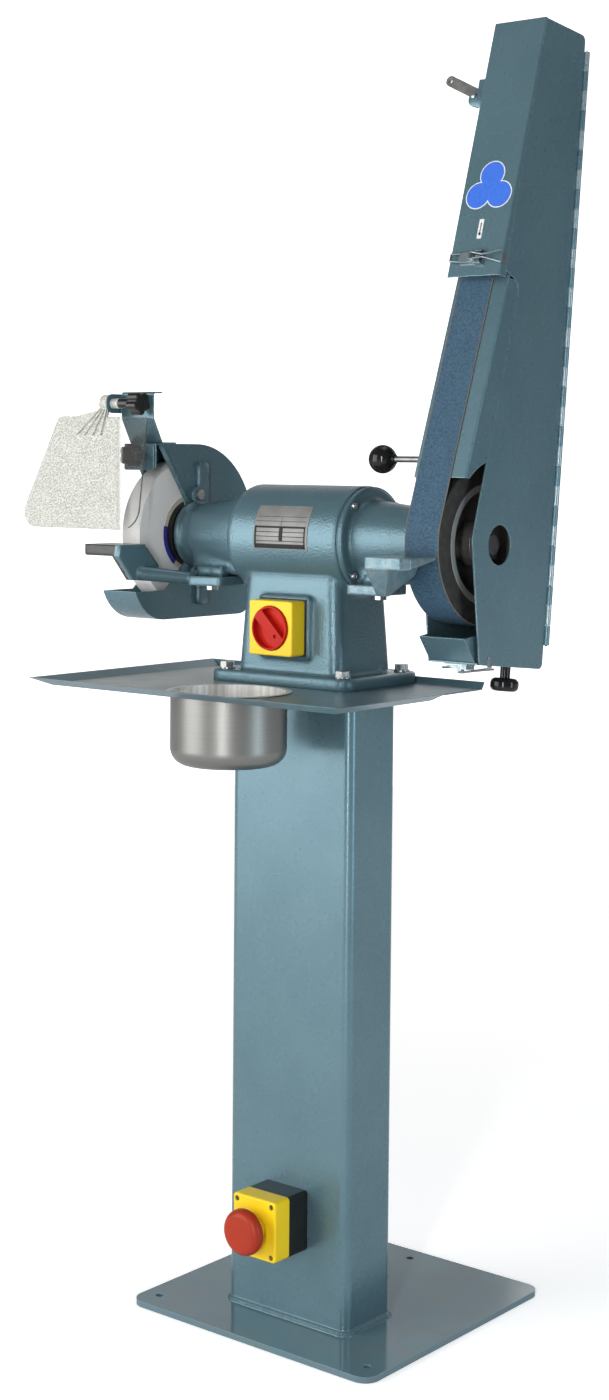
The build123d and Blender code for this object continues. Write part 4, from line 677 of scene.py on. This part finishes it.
own_finishes = {
    "left_rest": grey_end_table(),
    "right_rest": worn_enamel(),
    "base_plate": plate_enamel(),
    # Moving knuckles lighter than the fixed ones, a painted highlight that shows as light dashes; the pin is
    # painted dark as shade in the gaps
    "hinge_moving": metal("hinge_painted_highlight", (0.34, 0.42, 0.44, 1), (0.24, 0.32, 0.35, 1), 0.28, metallic=0.5),
    "hinge_pin": finishes["black_steel"],
    # Shaft near black: painted shade inside the door's hole
    "shaft": metal("shaft_painted_shade", grey(0.10), grey(0.06), 0.40),
    "shield_knob": knob_on_bolt(),
    "drip_tray": tray_enamel(),
    "estop_button": button_red,
    "ball_knob": black_gloss,
    "bottom_knob": black_gloss,
    "tension_lever": lever_steel,
    "tracking_lever": lever_steel,
    # Nut in black oxide, also chosen as painted shade inside the door's hole
    "contact_nut": finishes["black_steel"],
    "latch_bases": latch_zinc,
    "latch_catches": latch_zinc,
    "front_latch_lever": latch_zinc,
    "front_latch_loop": latch_zinc,
    "bottom_latch_lever": latch_zinc,
    "bottom_latch_loop": latch_zinc,
}


def paint_frame():
    """Gives each CAD node its own finish, or its slot's."""
    for row in frame["record"]["subparts"]:
        node = nodes_by_name[row["node"]]
        node.data.materials.clear()
        node.data.materials.append(own_finishes.get(row["node"], finishes[row["material_slot"]]))


def nothing_selected():
    bpy.ops.object.select_all(action="DESELECT")


def in_hand(*pieces):
    """Selects these pieces alone, the first of them active."""
    nothing_selected()
    for piece in pieces:
        piece.select_set(True)
    bpy.context.view_layer.objects.active = pieces[0]


def fixed(piece):
    """Puts the piece's place and turn into its mesh."""
    in_hand(piece)
    bpy.ops.object.transform_apply(location=True, rotation=True, scale=True)
    return piece


def joined(pieces):
    if len(pieces) > 1:
        in_hand(*pieces)
        bpy.ops.object.join()
    return pieces[0]


def take_away(piece):
    in_hand(piece)
    bpy.ops.object.delete()


def copy_of(pattern):
    """A copy with a mesh of its own."""
    copy = pattern.copy()
    copy.data = pattern.data.copy()
    bpy.context.scene.collection.objects.link(copy)
    return copy


def pick_faces(piece, wanted):
    """In edit mode, with only the faces selected whose normal is wanted."""
    in_hand(piece)
    bpy.ops.object.mode_set(mode="EDIT")
    bpy.ops.mesh.select_mode(type="FACE")
    bpy.ops.mesh.select_all(action="DESELECT")
    bpy.ops.object.mode_set(mode="OBJECT")
    for face in piece.data.polygons:
        face.select = wanted(face.normal)
    bpy.ops.object.mode_set(mode="EDIT")


def all_in_edit(piece):
    in_hand(piece)
    bpy.ops.object.mode_set(mode="EDIT")
    bpy.ops.mesh.select_all(action="SELECT")


def out_of_edit():
    bpy.ops.object.mode_set(mode="OBJECT")


def modified(piece, kind, **settings):
    """Applies one modifier to the piece."""
    in_hand(piece)
    modifier = piece.modifiers.new(kind.lower(), kind)
    for name, value in settings.items():
        setattr(modifier, name, value)
    bpy.ops.object.modifier_apply(modifier=modifier.name)
    return piece


def raised(piece, thick):
    """Gives a flat or bent film its thickness, outwards."""
    return modified(piece, "SOLIDIFY", thickness=thick, offset=1)


def rounded(piece, width):
    return modified(piece, "BEVEL", width=width, segments=2)


def worked(piece, operation, tool):
    """Cuts a tool out of the piece or adds it to the piece, and takes the tool away."""
    modified(piece, "BOOLEAN", operation=operation, object=tool, solver="EXACT")
    take_away(tool)


def rod(radius, depth, sides, place=(0, 0, 0), turn=(0, 0, 0), ends="NGON"):
    """Round stock to be shaped further."""
    nothing_selected()
    bpy.ops.mesh.primitive_cylinder_add(vertices=sides, radius=radius, depth=depth, end_fill_type=ends,
                                        location=place, rotation=turn)
    return fixed(bpy.context.object)


def block(size, place, turn=(0, 0, 0)):
    """Square stock to be shaped further."""
    nothing_selected()
    bpy.ops.mesh.primitive_cube_add(size=1, location=place, rotation=turn)
    piece = bpy.context.object
    piece.scale = size
    return fixed(piece)


def ring(radius, sides, place=(0, 0, 0), turn=(0, 0, 0), fill="NGON"):
    """A flat ring of edges, filled or open."""
    nothing_selected()
    bpy.ops.mesh.primitive_circle_add(vertices=sides, radius=radius, fill_type=fill,
                                      location=place, rotation=turn)
    return fixed(bpy.context.object)


def flat_sheet(width, height, place=(0, 0, 0), turn=(0, 0, 0)):
    nothing_selected()
    bpy.ops.mesh.primitive_plane_add(size=1, location=place, rotation=turn)
    piece = bpy.context.object
    piece.scale = (width, height, 1)
    return fixed(piece)


def finished(piece, name, body, slot, *coats, angle=35):
    """Names, coats and smooths the piece and lets it ride on its body."""
    fixed(piece)
    bpy.ops.object.shade_smooth_by_angle(angle=math.radians(angle))
    piece.name = name
    piece.data.materials.clear()
    for coat in coats:
        piece.data.materials.append(coat)
    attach(piece, body)


def abrasive_belt():
    """Endless belt: the hull of two rollers, its ends taken off and given the belt's thickness."""
    low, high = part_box("abrasive_belt")
    middle = middle_of("abrasive_belt")[0]
    width = high[0] - low[0]
    top = shaft + belt_centres * belt_line
    rollers = []
    for centre, radius, sides in ((shaft, belt_low_radius, 160), (top, belt_high_radius, 80)):
        place = (middle, centre.y, centre.z)
        rollers.append(rod(radius + belt_thick, width, sides, place, (0, math.pi / 2, 0)))
    belt = joined(rollers)
    all_in_edit(belt)
    bpy.ops.mesh.convex_hull()
    out_of_edit()
    pick_faces(belt, lambda normal: abs(normal.x) > 0.5)
    bpy.ops.mesh.delete(type="FACE")
    out_of_edit()
    modified(belt, "SOLIDIFY", thickness=belt_thick, offset=-1, material_offset=2, material_offset_rim=1)
    edge = cloth_backing("belt_edge", (0.40, 0.33, 0.25, 1), (0.26, 0.20, 0.15, 1))
    inside = cloth_backing("belt_inside", (0.30, 0.24, 0.17, 1), (0.20, 0.15, 0.10, 1))
    finished(belt, "belt_loop", "stand", "abrasive_cloth", finishes["abrasive_cloth"], edge, inside, angle=20)
    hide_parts("abrasive_belt")


def tension_coil():
    """Compression spring: a wire ring swept along its helix, its ends closed."""
    centre_x = middle_of("tension_spring")[0]
    rise = spring_end - spring_start - 2 * spring_wire
    coil = ring(spring_wire, 12, (spring_radius, 0, spring_wire), (math.pi / 2, 0, 0), "NOTHING")
    modified(coil, "SCREW", axis="Z", angle=2 * math.pi, screw_offset=rise / spring_turns,
             iterations=spring_turns, steps=28, render_steps=28, use_merge_vertices=False)
    all_in_edit(coil)
    bpy.ops.mesh.fill_holes(sides=0)
    bpy.ops.mesh.select_all(action="SELECT")
    bpy.ops.mesh.normals_make_consistent(inside=False)
    out_of_edit()
    base = shaft + spring_start * belt_line
    seat = (centre_x, base.y, base.z)
    coil.rotation_euler = (-belt_lean, 0, 0)
    coil.location = seat
    finished(coil, "tension_coil", "stand", "bright_steel", finishes["bright_steel"], angle=60)
    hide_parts("tension_spring")
    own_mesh(coil)


def motor_band(left, right, low, high, radius, thick):
    """A strip of sheet bent round the motor, between two angles up from level."""
    place = ((left + right) / 2, shaft.y, shaft.z)
    band = rod(radius, right - left, 180, place, (0, math.pi / 2, 0), "NOTHING")
    for angle, side in ((low, 1), (high, -1)):
        turn = math.radians(angle)
        upwards = (0, side * math.sin(turn), side * math.cos(turn))
        all_in_edit(band)
        bpy.ops.mesh.bisect(plane_co=shaft, plane_no=upwards, clear_inner=True)
        out_of_edit()
    return raised(band, thick)


def nameplate():
    """Bare plate on the motor: ruled empty fields, a dark frame and a dark foot band."""
    plate = motor_band(plate_left, plate_right, plate_low, plate_high, motor_radius + 0.00005, plate_thick)
    rounded(plate, 0.0002)
    silver = metal("plate_silver", (0.27, 0.27, 0.26, 1), (0.20, 0.20, 0.195, 1), 0.42, 500, (0.02, 1, 1),
                   metallic=0.2)
    finished(plate, "nameplate", "stand", "bright_steel", silver)
    left = plate_left + 0.0015
    right = plate_right - 0.0035
    rows = [(1.2, 6.0), (8.6, 9.4), (13.4, 14.2), (18.2, 19.0), (22.8, 25.0), (30.0, 30.5), (35.2, 35.7)]
    lines = [(left, right, low, high) for low, high in rows]
    lines += [(left, left + 0.0030, 1.2, 25.0), (right - 0.0024, right, 1.2, 25.0)]
    lines += [(-0.0056, 0.0006, 9.4, 25.0), (-0.0035, -0.0030, 25.0, 35.2)]
    rules = [motor_band(start, end, plate_low + low, plate_low + high, motor_radius + plate_thick, rule_thick)
             for start, end, low, high in lines]
    ink = printed("plate_ink", (0.022, 0.024, 0.025, 1), (0.014, 0.015, 0.016, 1))
    finished(joined(rules), "nameplate_rules", "stand", "black_plastic", ink)


def on_cover(piece, place, lift):
    """Lays a piece that was drawn flat on the front cover's face, at this x and height."""
    x, z = place
    rise = z - cover_foot.z
    piece.rotation_euler = (math.pi / 2 - cover_lean, 0, 0)
    on_face = Vector((x, cover_foot.y + rise * math.tan(cover_lean), z))
    piece.location = on_face + lift * Vector((0, -math.cos(cover_lean), math.sin(cover_lean)))


def direction_sticker():
    """White sticker with rounded corners and one arrow that points down the belt's run."""
    film = flat_sheet(*sticker_size)
    all_in_edit(film)
    bpy.ops.mesh.bevel(offset=sticker_corner, segments=5, affect="VERTICES")
    out_of_edit()
    raised(film, sticker_thick)
    on_cover(film, sticker_place, sticker_lift)
    white = printed("sticker_white", (0.80, 0.82, 0.80, 1), (0.70, 0.72, 0.70, 1))
    finished(film, "arrow_sticker", "stand", "paper", white)
    head = ring(arrow_head, 3, (0, -arrow_head_drop, 0), (0, 0, math.pi))
    stem = flat_sheet(*arrow_stem, (0, arrow_stem_rise, 0))
    arrow = joined([raised(part, arrow_thick) for part in (head, stem)])
    on_cover(arrow, sticker_place, arrow_lift)
    ink = printed("arrow_ink", grey(0.020), grey(0.012))
    finished(arrow, "arrow_mark", "stand", "black_plastic", ink)


def round_films():
    """Three plain round films in a cluster, blue on white, and a small one in their middle."""
    white = printed("film_white", (0.78, 0.82, 0.84, 1), (0.70, 0.74, 0.76, 1))
    blue = printed("film_blue", (0.060, 0.180, 0.720, 1), (0.045, 0.150, 0.640, 1))
    middle_x, middle_z = film_middle
    layers = [("round_films_rim", film_rim, film_rim_lift, white),
              ("round_films_face", film_face, film_face_lift, blue)]
    for name, radius, lift, coat in layers:
        spots = [(x - middle_x, (z - middle_z) / math.cos(cover_lean), radius) for x, z in film_places]
        spots.append((0, 0, 0.5 * radius))
        discs = []
        for number, (x, y, size) in enumerate(spots):
            discs.append(raised(ring(size, 64, (x, y, 0)), 0.00009 + 0.00001 * number))
        films = joined(discs)
        on_cover(films, film_middle, lift)
        finished(films, name, "stand", "paper", coat)


def foot_points():
    """Points round the column's foot, on its rounded outline, each with its outward turn in degrees."""
    low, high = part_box("column")
    middle = middle_of("column")
    centre = Vector((middle[0], middle[1], 0))
    half_x = (high[0] - low[0]) / 2 - weld_size - column_corner
    half_y = (high[1] - low[1]) / 2 - weld_size - column_corner
    sides = [((half_x, -half_y), 0, 2 * half_y), ((half_x, half_y), 90, 2 * half_x),
             ((-half_x, half_y), 180, 2 * half_y), ((-half_x, -half_y), 270, 2 * half_x)]
    points = []
    for (x, y), turn, run in sides:
        start = centre + Vector((x, y, 0))
        outward = Vector((math.cos(math.radians(turn)), math.sin(math.radians(turn)), 0))
        forward = Vector((-outward.y, outward.x, 0))
        for index in range(int(run / ripple_step)):
            points.append((start + column_corner * outward + index * ripple_step * forward, turn))
        end = start + run * forward
        for corner_turn in range(turn, turn + 90, 15):
            angle = math.radians(corner_turn)
            points.append((end + column_corner * Vector((math.cos(angle), math.sin(angle), 0)), corner_turn))
    return points


def foot_weld():
    """Fillet weld round the column: one flat-footed ripple, copied along the joint and grown together."""
    floor_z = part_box("base_plate")[1][2]
    nothing_selected()
    bpy.ops.mesh.primitive_uv_sphere_add(segments=12, ring_count=8, radius=1)
    ripple = bpy.context.object
    ripple.scale = ripple_size
    all_in_edit(fixed(ripple))
    bpy.ops.mesh.bisect(plane_co=(0, 0, -weld_sunk), plane_no=(0, 0, 1), clear_inner=True, use_fill=True)
    out_of_edit()
    ripples = []
    for number, (point, turn) in enumerate(foot_points()):
        copy = copy_of(ripple)
        swell = 1 + 0.05 * math.sin(number * 1.7) + 0.04 * math.sin(number * 0.61)
        copy.scale = (swell, 1, swell)
        copy.rotation_euler = (0, 0, math.radians(turn))
        copy.location = (point.x, point.y, floor_z)
        ripples.append(copy)
    take_away(ripple)
    bead = fixed(joined(ripples))
    modified(bead, "REMESH", mode="VOXEL", voxel_size=weld_grain)
    finished(bead, "foot_weld", "stand", "enamel", finishes["cast_enamel"], angle=60)


def slotted_screw(radius, rise):
    """Screw head that looks along -Y: a disc with a raised, tapered top and a cut slot."""
    head = rod(radius, rise, 24, turn=(math.pi / 2, 0, 0))
    pick_faces(head, lambda normal: normal.y < -0.9)
    bpy.ops.mesh.inset(thickness=0.16 * radius)
    bpy.ops.transform.translate(value=(0, -0.25 * rise, 0))
    out_of_edit()
    worked(head, "DIFFERENCE", block((0.35 * radius, 0.8 * rise, 3 * radius), (0, -0.65 * rise, 0)))
    return head


def stop_cover_screws():
    """Four slotted screws in the stop cover's corner wells."""
    face_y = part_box("estop_cover")[0][1] + stop_collar
    middle = middle_of("estop_cover")
    pattern = slotted_screw(screw_radius, screw_rise)
    screws = []
    for side in (-screw_aside, screw_aside):
        for level in (-screw_above, screw_above):
            copy = copy_of(pattern)
            copy.location = (middle[0] + side, face_y + screw_sunk, middle[2] + level)
            screws.append(copy)
    take_away(pattern)
    for screw in screws:
        fixed(screw)
    dull = metal("screw_brown", (0.24, 0.17, 0.06, 1), (0.12, 0.09, 0.04, 1), 0.40, metallic=0.5)
    finished(joined(screws), "stop_cover_screws", "stand", "black_steel", dull)


def switch_gasket():
    """Black gasket that stands out round the switch box where it meets its pad."""
    low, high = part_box("switch_box")
    middle = middle_of("switch_box")
    size = (high.x - low.x + 2 * gasket_proud, gasket_thick, high.z - low.z + 2 * gasket_proud)
    gasket = block(size, (middle[0], high.y - gasket_thick / 2, middle[2]))
    pick_faces(gasket, lambda normal: abs(normal.y) > 0.9)
    bpy.ops.mesh.inset(thickness=3 * gasket_proud, use_individual=True)
    bpy.ops.mesh.bridge_edge_loops()
    out_of_edit()
    rounded(gasket, 0.0005)
    finished(gasket, "switch_gasket", "stand", "black_rubber", finishes["black_rubber"])


def from_belt_line(x, along_line, across):
    """A point by its x, its distance up the belt line from the shaft and across that line."""
    across_line = Vector((0, belt_line.z, -belt_line.y))
    return Vector((x, shaft.y, shaft.z)) + along_line * belt_line + across * across_line


def lever_bracket():
    """Sheet bracket in front of the tracking lever, with a round nose and its bolt."""
    turn = (math.pi / 2 - belt_lean, 0, 0)
    plate = block(bracket_size, from_belt_line(*bracket_place), turn)
    worked(plate, "UNION", rod(nose_radius, nose_thick, 48, from_belt_line(*nose_place), turn))
    rounded(plate, 0.0006)
    finished(plate, "lever_bracket", "stand", "enamel", finishes["enamel"])
    bolt = rod(bolt_radius, bolt_rise, 6, from_belt_line(*bolt_place), turn)
    rounded(bolt, 0.0007)
    finished(bolt, "bracket_bolt", "stand", "bright_steel", finishes["bright_steel"])


def lamp(name, place, target, size, watts, colour=(1, 1, 1)):
    """Soft rectangular lamp that looks at its target."""
    nothing_selected()
    bpy.ops.object.light_add(type="AREA", location=place)
    light = bpy.context.object
    light.name = name
    light.data.shape = "RECTANGLE"
    light.data.size, light.data.size_y = size
    light.data.energy = watts
    light.data.color = colour
    light.visible_camera = False
    direction = Vector(target) - Vector(place)
    light.rotation_euler = direction.to_track_quat("-Z", "Y").to_euler()


def seen_rays(tree, gloss_share):
    """1 for rays that show the surround itself, and a share for its reflection in gloss."""
    ray = tree.nodes.new("ShaderNodeLightPath")
    direct = combined(tree, "MAXIMUM", ray.outputs["Is Camera Ray"], ray.outputs["Is Transmission Ray"])
    gloss = spread(tree, ray.outputs["Is Glossy Ray"], 0.0, gloss_share)
    return combined(tree, "MAXIMUM", direct, gloss)


def pale_floor():
    """Pale floor that keeps the shadow near the stand and runs out to white."""
    floor = flat_sheet(floor_size, floor_size, (0, 0, -floor_drop))
    floor.name = "floor"
    material, tree, shader = new_finish("pale_floor")
    set_plain(shader, Base_Color=grey(0.93), Roughness=0.9, Specular_IOR_Level=0.1, Emission_Color=grey(1))
    seen = seen_rays(tree, floor_gloss)
    tree.links.new(spread(tree, seen, 0.0, floor_glow), shader.inputs["Emission Strength"])
    far = spread(tree, length(tree, object_place(tree)), 0.0, 1.0, floor_white_start, floor_white_full)
    white = tree.nodes.new("ShaderNodeEmission")
    blend = tree.nodes.new("ShaderNodeMixShader")
    tree.links.new(combined(tree, "MULTIPLY", far, seen), blend.inputs["Fac"])
    tree.links.new(shader.outputs["BSDF"], blend.inputs[1])
    tree.links.new(white.outputs["Emission"], blend.inputs[2])
    tree.links.new(blend.outputs["Shader"], tree.nodes["Material Output"].inputs["Surface"])
    floor.data.materials.append(material)


def backdrop():
    """White wall behind the part, seen through from its back: it shows in gloss too, and lights nothing."""
    view = Vector((-math.sin(camera_turn), math.cos(camera_turn), 0))
    place = wall_away * view + Vector((0, 0, wall_height))
    wall = flat_sheet(wall_size, wall_size, place, (math.pi / 2, 0, camera_turn))
    wall.name = "backdrop"
    material, tree, shader = new_finish("white_wall")
    set_plain(shader, Base_Color=grey(0.9), Roughness=0.9, Emission_Color=grey(1))
    tree.links.new(seen_rays(tree, wall_gloss), shader.inputs["Emission Strength"])
    back = tree.nodes.new("ShaderNodeNewGeometry").outputs["Backfacing"]
    tree.links.new(spread(tree, back, 1.0, 0.0), shader.inputs["Alpha"])
    wall.data.materials.append(material)


def studio():
    """White surround and soft lamps."""
    world = bpy.data.worlds.new("studio")
    bpy.context.scene.world = world
    world.use_nodes = True
    tree = world.node_tree
    background = tree.nodes["Background"]
    seen = seen_rays(tree, surround_gloss)
    tree.links.new(spread(tree, seen, surround_light, 1.0), background.inputs["Strength"])
    background.inputs["Color"].default_value = grey(1)
    lamp("key", (-1.9, -3.1, 1.5), (0, -0.1, 0.9), (2.6, 2.8), 106)
    lamp("front_strip", (1.35, -2.75, 1.2), (0.05, -0.1, 0.95), (0.16, 2.2), 46)
    lamp("side_strip", (3.0, 0.2, 1.1), (0.1, -0.1, 0.95), (0.6, 2.0), 28, (0.72, 0.89, 1.0))
    lamp("back", (-0.4, 3.4, 2.2), (0, 0, 0.9), (3.0, 2.0), 24)
    lamp("top", (0.2, 0.6, 4.2), (0, 0, 0.8), (1.8, 1.8), 14)


def photo_camera():
    """Camera at the photograph's viewing angle."""
    data = bpy.data.cameras.new("photo_camera")
    camera = bpy.data.objects.new("photo_camera", data)
    bpy.context.scene.collection.objects.link(camera)
    turn = Euler((math.pi / 2 - camera_dip, 0, camera_turn)).to_matrix().to_4x4()
    camera.matrix_world = Matrix.Translation(camera_place) @ turn @ Matrix.Rotation(camera_roll, 4, "Z")
    data.lens = camera_lens
    data.sensor_width = camera_sensor
    data.shift_x, data.shift_y = camera_shift
    data.clip_end = 60
    bpy.context.scene.camera = camera


paint_frame()
abrasive_belt()
tension_coil()
nameplate()
direction_sticker()
round_films()
foot_weld()
stop_cover_screws()
switch_gasket()
lever_bracket()
photo_camera()
pale_floor()
backdrop()
studio()
bpy.context.scene.view_settings.view_transform = "Standard"
